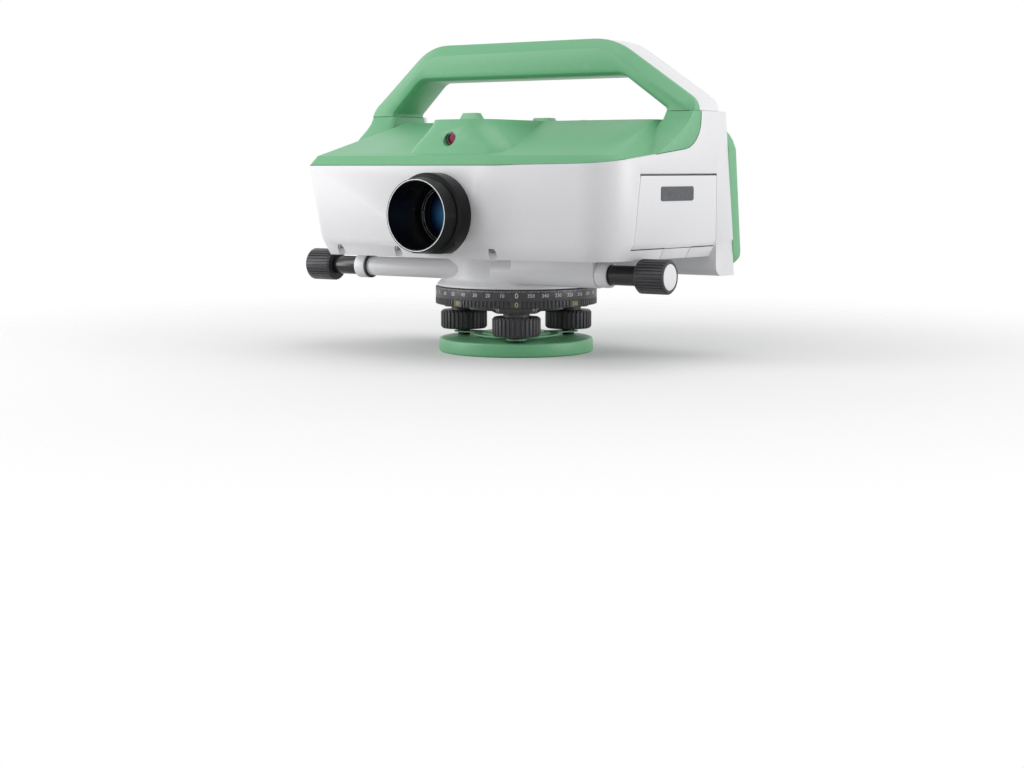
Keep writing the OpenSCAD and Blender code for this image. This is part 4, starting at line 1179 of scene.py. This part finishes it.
@dataclass
class Seam:
    """Thin line of painted shadow along an outer edge of a CAD node, where two shells meet.

    Attributes:
        name: Name of the piece.
        node: CAD node whose edge it follows.
        belongs: Tells from the edge's middle and a face's normal whether the face is the hidden one.
        shows: Tells from the same whether the other face is seen from outside.
        shortest: Length under which an edge is left out.
        radius: Half thickness of the line.
    """

    name: str
    node: str
    belongs: Callable[[Vector, Vector], bool]
    shows: Callable[[Vector, Vector], bool]
    shortest: float = 0.0
    radius: float = 0.22 * MM

    def build(self) -> None:
        """Lays a thin rod along each edge of the seam."""
        source = bmesh.new()
        source.from_mesh(frame["nodes"][self.node].data)
        bmesh.ops.remove_doubles(source, verts=source.verts, dist=0.001 * MM)
        work = bmesh.new()
        for edge in source.edges:
            if self.follows(edge):
                start, end = (vert.co for vert in edge.verts)
                rod(work, start, end, self.radius)
        source.free()
        shadow_line(self.name, work, Body.ALIDADE)

    def follows(self, edge: bmesh.types.BMEdge) -> bool:
        """Tells whether an edge belongs to the seam.

        Args:
            edge: Edge of the node's mesh.

        Returns:
            Whether one face of the edge is hidden in the seam and the other one looks outwards.
        """
        if len(edge.link_faces) != 2 or edge.calc_length() < self.shortest:
            return False
        middle = (edge.verts[0].co + edge.verts[1].co) / 2
        first, second = (face.normal for face in edge.link_faces)
        if self.belongs(middle, first) == self.belongs(middle, second):
            return False
        return self.shows(middle, second if self.belongs(middle, first) else first)


@dataclass
class Housing:
    """Housing, top cover, handle and battery door, with painted shadow along their seams and round the door,
    the door's plate and the camera's ring.

    Attributes:
        plate_middle: Middle of the bare plate on the door, as y and z.
        plate_size: Width and height of the plate.
        plate_thickness: Height of the plate over the door's face.
        plate_sink: Depth of the plate's back under the door's face.
        plate_corner: Radius of the plate's corners.
        plate_bevel: Width of the bevel round its face.
        plate_side: Height at which the bevel starts, as a share of the thickness.
        line_radius: Half thickness of the painted shadow lines in the gap round the door.
        line_depth: Depth behind the door's face within which an edge of the door shows.
        door_edge: Height of the strips along the door's top and lower edge, and length of the shortest line.
        seam_side: Width of the strip along each side of the top cover in which its seam shows.
        seam_front: Width of the strip along the cover's front.
        foot_layer: Height over the lower end of the handle's legs that still counts as that end.
        leg_line: Length of the shortest edge in the seams under the legs.
        ring_gap: Distance from the camera window's rim to the ring round the camera.
        ring_width: Width of that ring.
        ring_height: Height of the ring over the window.
        ring_bevel: Width of the ring's inner bevel, and depth of its seat.
    """

    plate_middle: tuple[float, float] = (-10 * MM, 122.8 * MM)
    plate_size: tuple[float, float] = (40 * MM, 10.4 * MM)
    plate_thickness: float = 0.6 * MM
    plate_sink: float = 0.1 * MM
    plate_corner: float = 1.6 * MM
    plate_bevel: float = 0.25 * MM
    plate_side: float = 0.6
    line_radius: float = 0.3 * MM
    line_depth: float = 0.3 * MM
    door_edge: float = 1 * MM
    seam_side: float = 50 * MM
    seam_front: float = 20 * MM
    foot_layer: float = 0.1 * MM
    leg_line: float = 0.9 * MM
    ring_gap: float = 0.1 * MM
    ring_width: float = 1.4 * MM
    ring_height: float = 0.9 * MM
    ring_bevel: float = 0.4 * MM

    def build(self) -> None:
        """Shows the shells with rounded edges and adds their trim."""
        white, green = ("white_paint", Finish.WHITE_PAINT), ("green_shell", Finish.GREEN_PAINT)
        Softened("lower_housing", Body.ALIDADE, *white, 0.9 * MM, 30).build()
        Softened("top_cover", Body.ALIDADE, *green, 1.2 * MM, 24).build()
        Softened("handle_grip", Body.ALIDADE, *green, 0.8 * MM, 30).build()
        Softened("handle_back", Body.ALIDADE, *white, 0.8 * MM, 30).build()
        Softened("battery_door", Body.DOOR, *white, 0.5 * MM, 30).build()
        Softened("door_latch", Body.LATCH, *white, 0.5 * MM, 30).build()
        Softened("housing_screws", Body.ALIDADE, "steel", Finish.DARK_STEEL, 0.15 * MM).build()
        Softened("camera_window", Body.ALIDADE, "camera_glass", Finish.CAMERA, 0.4 * MM).build()
        self.door_plate()
        self.camera_ring()
        self.seams()
        self.door_shadow_lines()

    def door_shadow_lines(self) -> None:
        """Adds lines of painted shadow in the gap along the door's top and, beside the latch, along its lower
        edge.
        """
        low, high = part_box("battery_door")
        latch_low, latch_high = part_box("door_latch")
        source = bmesh.new()
        source.from_mesh(frame["nodes"]["battery_door"].data)
        sides = []
        for edge in source.edges:
            start, end = sorted((vert.co for vert in edge.verts), key=lambda point: point.y)
            if end.y - start.y > self.door_edge:
                sides.append((start, end))
        upper = [side for side in sides if min(side[0].z, side[1].z) > high[2] - self.door_edge]
        lower = [side for side in sides if max(side[0].z, side[1].z) < low[2] + self.door_edge]
        work = bmesh.new()
        for start, end in self.outermost(upper):
            rod(work, start, end, self.line_radius)
        for start, end in self.outermost(lower):
            before, behind = (start.y, min(end.y, latch_low[1])), (max(start.y, latch_high[1]), end.y)
            for first, last in (before, behind):
                if last - first > self.door_edge:
                    ends = [start.lerp(end, (y - start.y) / (end.y - start.y)) for y in (first, last)]
                    rod(work, *ends, self.line_radius)
        source.free()
        shadow_line("door_shadow_lines", work, Body.DOOR)

    def outermost(self, lines: Sequence[Sequence[Vector]]) -> list[Sequence[Vector]]:
        """Those of some lines along the door that lie nearest to its outer face."""
        depths = [max(self.wall(point.y) - point.x for point in line) for line in lines]
        return [line for line, depth in zip(lines, depths) if depth < min(depths) + self.line_depth]

    def seams(self) -> None:
        """Adds the lines of painted shadow under the top cover and under the handle's legs."""
        low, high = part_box("top_cover")
        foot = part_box("handle_grip")[0][2]
        # Limits on a face's unit normal: the most that a face in the cover's seam looks sideways, the least
        # that it looks down or back, the least that a leg's end looks down, and the most that an upright
        # face looks up or down
        sideways, seated, level, upright = 0.1, 0.5, 0.9, 0.75

        def under_cover(middle: Vector, normal: Vector) -> bool:
            """Tells whether a face of the cover lies on the white shell where the seam shows.

            Args:
                middle: Middle of the face's edge.
                normal: Unit normal of the face.

            Returns:
                Whether it does.
            """
            at_side = middle.x < low[0] + self.seam_side or middle.x > high[0] - self.seam_side
            at_front = middle.y < low[1] + self.seam_front
            rests = normal.z < -seated or normal.y > seated
            return (at_side or at_front) and middle.z < foot and abs(normal.x) < sideways and rests

        def under_leg(middle: Vector, normal: Vector) -> bool:
            """Whether a face of the handle lies on the cover."""
            return middle.z < foot + self.foot_layer and normal.z < -level

        def on_wall(middle: Vector, normal: Vector) -> bool:
            """Whether a face of the cover is one of its outer walls."""
            outwards = normal.x * middle.x + normal.y * (middle.y - low[1] / 2)
            return abs(normal.z) < upright and outwards > 0

        def on_leg(_: Vector, normal: Vector) -> bool:
            """Whether a face of the handle is a side of a leg."""
            return abs(normal.z) < upright

        Seam("cover_seam_shadow", "top_cover", under_cover, on_wall).build()
        for name, node in (("grip_seam_shadow", "handle_grip"), ("shell_seam_shadow", "handle_back")):
            Seam(name, node, under_leg, on_leg, shortest=self.leg_line).build()

    def camera_ring(self) -> None:
        """Adds the metal ring round the sighting camera."""
        outer = half_width("camera_window") - self.ring_gap
        inner = outer - self.ring_width
        bevel, height = self.ring_bevel, self.ring_height
        profile = [(inner, bevel), (inner, -bevel), (inner + bevel, -height), (outer, -height),
                   (outer, bevel)]
        place = forwards(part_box("camera_window")[0][1], height_of("camera_window"))
        settle(lathe("camera_ring", profile, SMALL_STEPS, place), Body.ALIDADE, "black_metal",
               Finish.DARK_STEEL)

    def wall(self, y: float) -> float:
        """Finds the right wall, which leans as the door's hinge does.

        Args:
            y: Place along the instrument.

        Returns:
            Place of the wall across the instrument.
        """
        joints = frame["record"]["behaviour"]["joints"]
        pin = next(joint for joint in joints if joint["name"] == "door_swing")
        lean = pin["axis"][0] / pin["axis"][1]
        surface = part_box("battery_door")[1]
        return surface[0] + (y - surface[1]) * lean

    def plate_outline(self) -> list[tuple[float, float]]:
        """Goes round the plate with its rounded corners.

        Returns:
            The outline's points, across and up from the plate's middle.
        """
        steps = 6
        half_w, half_h = (size / 2 - self.plate_corner for size in self.plate_size)
        outline = []
        for across, up, start in ((1, 1, 0), (-1, 1, 90), (-1, -1, 180), (1, -1, 270)):
            for k in range(steps + 1):
                turn = math.radians(start + 90 * k / steps)
                outline.append((across * half_w + self.plate_corner * math.cos(turn),
                                up * half_h + self.plate_corner * math.sin(turn)))
        return outline

    def door_plate(self) -> None:
        """Adds the bare dark plate on the door's face."""
        width, height = self.plate_size
        side = self.plate_thickness * self.plate_side
        work = bmesh.new()
        rings = []
        for bevel, out in ((0.0, -self.plate_sink), (0.0, side), (self.plate_bevel, self.plate_thickness)):
            ring = []
            for across, up in self.plate_outline():
                y = self.plate_middle[0] + across * (1 - 2 * bevel / width)
                z = self.plate_middle[1] + up * (1 - 2 * bevel / height)
                ring.append(work.verts.new((self.wall(y) + out, y, z)))
            rings.append(ring)
        for low, high in zip(rings, rings[1:]):
            for k in range(len(low)):
                n = (k + 1) % len(low)
                work.faces.new((low[k], low[n], high[n], high[k]))
        work.faces.new(rings[-1])
        work.faces.new(rings[0][::-1])
        bmesh.ops.recalc_face_normals(work, faces=work.faces)
        mesh = mesh_of("door_plate", work)
        mark_edges(mesh)
        settle(put("door_plate", mesh), Body.DOOR, "white_paint", Finish.DARK_PLATE)


@dataclass
class Telescope:
    """Objective, focusing knob and eyepiece.

    Attributes:
        liner: Thickness of the dark liner inside the hood.
        liner_start: Distance of the liner from the hood's mouth.
        rim: Half width of the bare metal edge of the hood's mouth.
        rim_out: Distance of that edge's middle from the liner.
        fine_rim: Half width of the bright edges round the lens.
        rim_places: Distances of these edges from the lens.
        rim_rise: Height of the edges over what they trim.
        rim_seat: Depth to which they are seated.
        rim_crown: Width of an edge's crown as a share of its whole width.
    """

    liner: float = 0.2 * MM
    liner_start: float = 1.2 * MM
    rim: float = 0.32 * MM
    rim_out: float = 0.85 * MM
    fine_rim: float = 0.22 * MM
    rim_places: tuple[float, ...] = (0.8 * MM, 2.6 * MM)
    rim_rise: float = 0.1 * MM
    rim_seat: float = 0.4 * MM
    rim_crown: float = 0.6

    def build(self) -> None:
        """Shows the telescope's outer pieces and the trim of the objective."""
        metal = ("black_metal", Finish.HOOD_BLACK)
        rubber = ("black_plastic", Finish.BLACK_MOULDING)
        Softened("objective_hood", Body.ALIDADE, *metal, 0.5 * MM).build()
        Softened("lens_ring", Body.ALIDADE, "black_metal", Finish.HOOD_INSIDE, 0.2 * MM).build()
        Softened("objective_lens", Body.ALIDADE, "lens_glass", Finish.LENS, 0.0).build()
        Softened("eyepiece_tube", Body.ALIDADE, *metal, 0.3 * MM).build()
        Softened("eyepiece_lens", Body.ALIDADE, "lens_glass", Finish.EYE_GLASS, 0.3 * MM).build()
        Softened("eyepiece_ring", Body.EYEPIECE, *rubber, 0.25 * MM).build()
        Softened("focus_knob", Body.FOCUS_DRIVE, *rubber, 0.25 * MM).build()
        Softened("focus_shaft", Body.FOCUS_DRIVE, "steel", Finish.STEEL, 0.2 * MM).build()
        self.trim()

    def trim(self) -> None:
        """Adds the hood's dark liner, its bare metal edge and the bright edges round the lens."""
        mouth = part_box("objective_hood")[0][1]
        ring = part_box("lens_ring")[0][1]
        bore = half_width("lens_ring") + self.liner
        depth = ring - mouth
        tube = [(bore - self.liner, self.liner_start), (bore, self.liner_start), (bore, depth),
                (bore - self.liner, depth)]
        self.turn("hood_liner", tube, mouth, "black_metal", Finish.HOOD_INSIDE)
        self.turn("hood_rim", self.edge(bore + self.rim_out, self.rim), mouth, "steel", Finish.STEEL)
        for k, place in enumerate(self.rim_places):
            profile = self.edge(LENS_R + place, self.fine_rim)
            self.turn("lens_rim_%d" % k, profile, ring, "steel", Finish.STEEL)

    def edge(self, radius: float, half: float) -> list[tuple[float, float]]:
        """Draws a rounded metal edge, seated in what it trims.

        Args:
            radius: Radius of its middle.
            half: Half its width.

        Returns:
            The profile for the lathe.
        """
        seat, rise, crown = self.rim_seat, self.rim_rise, half * self.rim_crown
        return [(radius - half, seat), (radius - half, 0.0), (radius - crown, -rise),
                (radius + crown, -rise), (radius + half, 0.0), (radius + half, seat)]

    def turn(self, name: str, profile: Sequence[tuple[float, float]], front: float, slot: str,
             finish: Finish) -> None:
        """Turns a profile round the telescope's axis.

        Args:
            name: Name of the piece.
            profile: Radius and depth of each corner.
            front: Place along the axis from which the depths count.
            slot: Material slot of the record.
            finish: Finish of the piece.
        """
        settle(lathe(name, profile, LARGE_STEPS, forwards(front, AXIS_Z)), Body.ALIDADE, slot, finish)


@dataclass
class RearSide:
    """Rear panel with display and keys, and the round bubble level."""

    def build(self) -> None:
        """Shows the controls with rounded edges."""
        Softened("rear_panel", Body.ALIDADE, "green_shell", Finish.GREEN_PAINT, 0.35 * MM, 30).build()
        Softened("display", Body.ALIDADE, "display_glass", Finish.SCREEN, 0.4 * MM).build()
        Softened("keypad", Body.ALIDADE, "key_rubber", Finish.KEY_RUBBER, 0.5 * MM).build()
        Softened("cursor_key", Body.CURSOR, "key_rubber", Finish.KEY_RUBBER, 0.6 * MM).build()
        Softened("power_key", Body.POWER, "red_key", Finish.RED_KEY, 0.6 * MM).build()
        Softened("measure_key", Body.MEASURE, "red_key", Finish.RED_KEY, 0.5 * MM).build()
        Softened("level_case", Body.ALIDADE, "aluminium", Finish.ALUMINIUM, 0.2 * MM).build()
        Softened("level_vial", Body.ALIDADE, "vial_glass", Finish.VIAL, 0.2 * MM).build()


HIDDEN_FINISHES = {
    Finish.STEEL: ("axis_bush", "vertical_axle", "door_hinge_pin", "handle_screws"),
    Finish.BRASS: ("foot_nuts", "worm_wheel", "drive_bushes", "compensator_pendulum"),
    Finish.ALUMINIUM: ("chassis", "compensator_frame"),
    Finish.BLACK_ANODISED: ("telescope_tube", "focus_cell"),
    Finish.LENS: ("focus_lens", "reticle", "beam_splitter"),
    Finish.CIRCUIT: ("line_sensor", "main_board"),
    Finish.BATTERY_CASE: ("battery",),
}


def dress_inside() -> None:
    """Gives the pieces inside the instrument their finishes."""
    for finish, nodes in HIDDEN_FINISHES.items():
        for node in nodes:
            frame["nodes"][node].data.materials.clear()
            frame["nodes"][node].data.materials.append(finish.material())
            LOG.info("node %s is dressed as %s", node, finish.name)


@dataclass(frozen=True)
class Lamp:
    """Soft square lamp.

    Attributes:
        name: Name of the lamp.
        place: Where it hangs.
        size: Length of its sides in metres.
        power: Power in watts.
    """

    name: str
    place: Point
    size: float
    power: float

    def hang(self, target: Point) -> None:
        """Hangs the lamp.

        Args:
            target: Place that it faces.
        """
        data = bpy.data.lights.new(self.name, "AREA")
        data.size = self.size
        data.energy = self.power
        lamp = put(self.name, data)
        lamp.location = self.place
        lamp.rotation_euler = (Vector(target) - Vector(self.place)).to_track_quat("-Z", "Y").to_euler()


@dataclass
class Studio:
    """Camera, pale floor and soft light.

    Attributes:
        eye: Place of the camera.
        azimuth: Turn of the camera about the vertical, in degrees.
        pitch: Angle by which it looks down, in degrees.
        sensor: Width of the camera's sensor in millimetres.
        lens: Focal length in millimetres on that sensor.
        floor_radius: Radius of the floor.
        floor_fade: Where the floor starts to fade and where it has faded out, as shares of its radius.
        floor_colour: Colour of the floor as it is seen.
        floor_bounce: Colour with which the floor lights the instrument.
        world_light: Strength of the even light from all around.
        target: Place that the lamps face.
        lamps: From the left front, from above, low from the left, and from the right.
    """

    eye: Point = (0.782284, -1.144132, 0.14115)
    azimuth: float = 34.5
    pitch: float = 6.907
    sensor: float = 36.0
    lens: float = 62.68
    floor_radius: float = 0.75
    floor_fade: tuple[float, float] = (0.12, 0.9)
    floor_colour: Colour = (0.93, 0.93, 0.93)
    floor_bounce: Colour = (0.45, 0.45, 0.45)
    world_light: float = 0.5
    target: Point = (0.0, 0.0, 0.13)
    lamps: tuple[Lamp, ...] = (
        Lamp("key", (-0.75, -0.95, 0.7), 0.7, 6.3),
        Lamp("top", (0.15, 0.25, 1.7), 1.4, 5.0),
        Lamp("low", (-0.8, -0.6, 0.12), 0.35, 1.9),
        Lamp("side", (1.6, 0.5, 0.45), 1.0, 12.0),
    )

    def build(self) -> None:
        """Sets up the studio."""
        scene = bpy.context.scene
        scene.view_settings.view_transform = "Standard"
        self.camera(scene)
        self.world(scene)
        self.floor()
        for lamp in self.lamps:
            lamp.hang(self.target)

    def camera(self, scene: bpy.types.Scene) -> None:
        """Puts the camera at the viewing angle of the photograph.

        Args:
            scene: Scene that it looks at.
        """
        data = bpy.data.cameras.new("camera")
        data.lens = self.lens
        data.sensor_width = self.sensor
        camera = put("camera", data)
        camera.location = self.eye
        camera.rotation_euler = (math.radians(90 - self.pitch), 0.0, math.radians(self.azimuth))
        scene.camera = camera

    def world(self, scene: bpy.types.Scene) -> None:
        """Makes the world white to look at and a plain grey to light with.

        Args:
            scene: Scene that gets the world.
        """
        world = bpy.data.worlds.new("studio")
        scene.world = world
        world.use_nodes = True
        tree = world.node_tree
        light = tree.nodes["Background"]
        light.inputs["Strength"].default_value = self.world_light
        seen = tree.nodes.new("ShaderNodeBackground")
        for background in (light, seen):
            background.inputs["Color"].default_value = (1.0, 1.0, 1.0, 1.0)
        mix = tree.nodes.new("ShaderNodeMixShader")
        tree.links.new(self.looks(tree), mix.inputs["Fac"])
        tree.links.new(light.outputs["Background"], mix.inputs[1])
        tree.links.new(seen.outputs["Background"], mix.inputs[2])
        tree.links.new(mix.outputs["Shader"], tree.nodes["World Output"].inputs["Surface"])

    def looks(self, tree: bpy.types.NodeTree) -> Any:
        """Tells the rays that look at something from those that only light it.

        Args:
            tree: Tree of the world or of a material.

        Returns:
            A socket that is 1 for a ray from the camera, from a reflection or through glass, and otherwise 0.
        """
        path = tree.nodes.new("ShaderNodeLightPath")
        most = path.outputs["Is Camera Ray"]
        for name in ("Is Glossy Ray", "Is Transmission Ray"):
            most = arithmetic(tree, "MAXIMUM", most, path.outputs[name])
        return most

    def floor(self) -> None:
        """Lays a pale round floor that fades into the background."""
        work = bmesh.new()
        bmesh.ops.create_circle(work, cap_ends=True, segments=96, radius=self.floor_radius)
        mesh = mesh_of("floor", work)
        shader = Shader("pale_floor", Roughness=0.9, Specular_IOR_Level=0.1)
        shader.set("Base Color", shader.blend(self.looks(shader.tree), self.floor_bounce, self.floor_colour))
        start, end = (self.floor_radius * share for share in self.floor_fade)
        distance = shader.reach(shader.axis("X"), shader.axis("Y"))
        shader.set("Alpha", shader.span(distance, start, end, 1.0, 0.0, smooth=True))
        mesh.materials.append(shader.material)
        put("floor", mesh)


def main() -> None:
    """Builds the instrument's looks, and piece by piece."""
    logging.basicConfig(level=logging.INFO, format="%(name)s: %(message)s")
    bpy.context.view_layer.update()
    dress_inside()
    for part in (LevellingBase(), DegreeCircle(), Drive(), Housing(), Telescope(), RearSide(), Studio()):
        LOG.info("building %s", type(part).__name__)
        part.build()


if __name__ == "__main__":
    main()
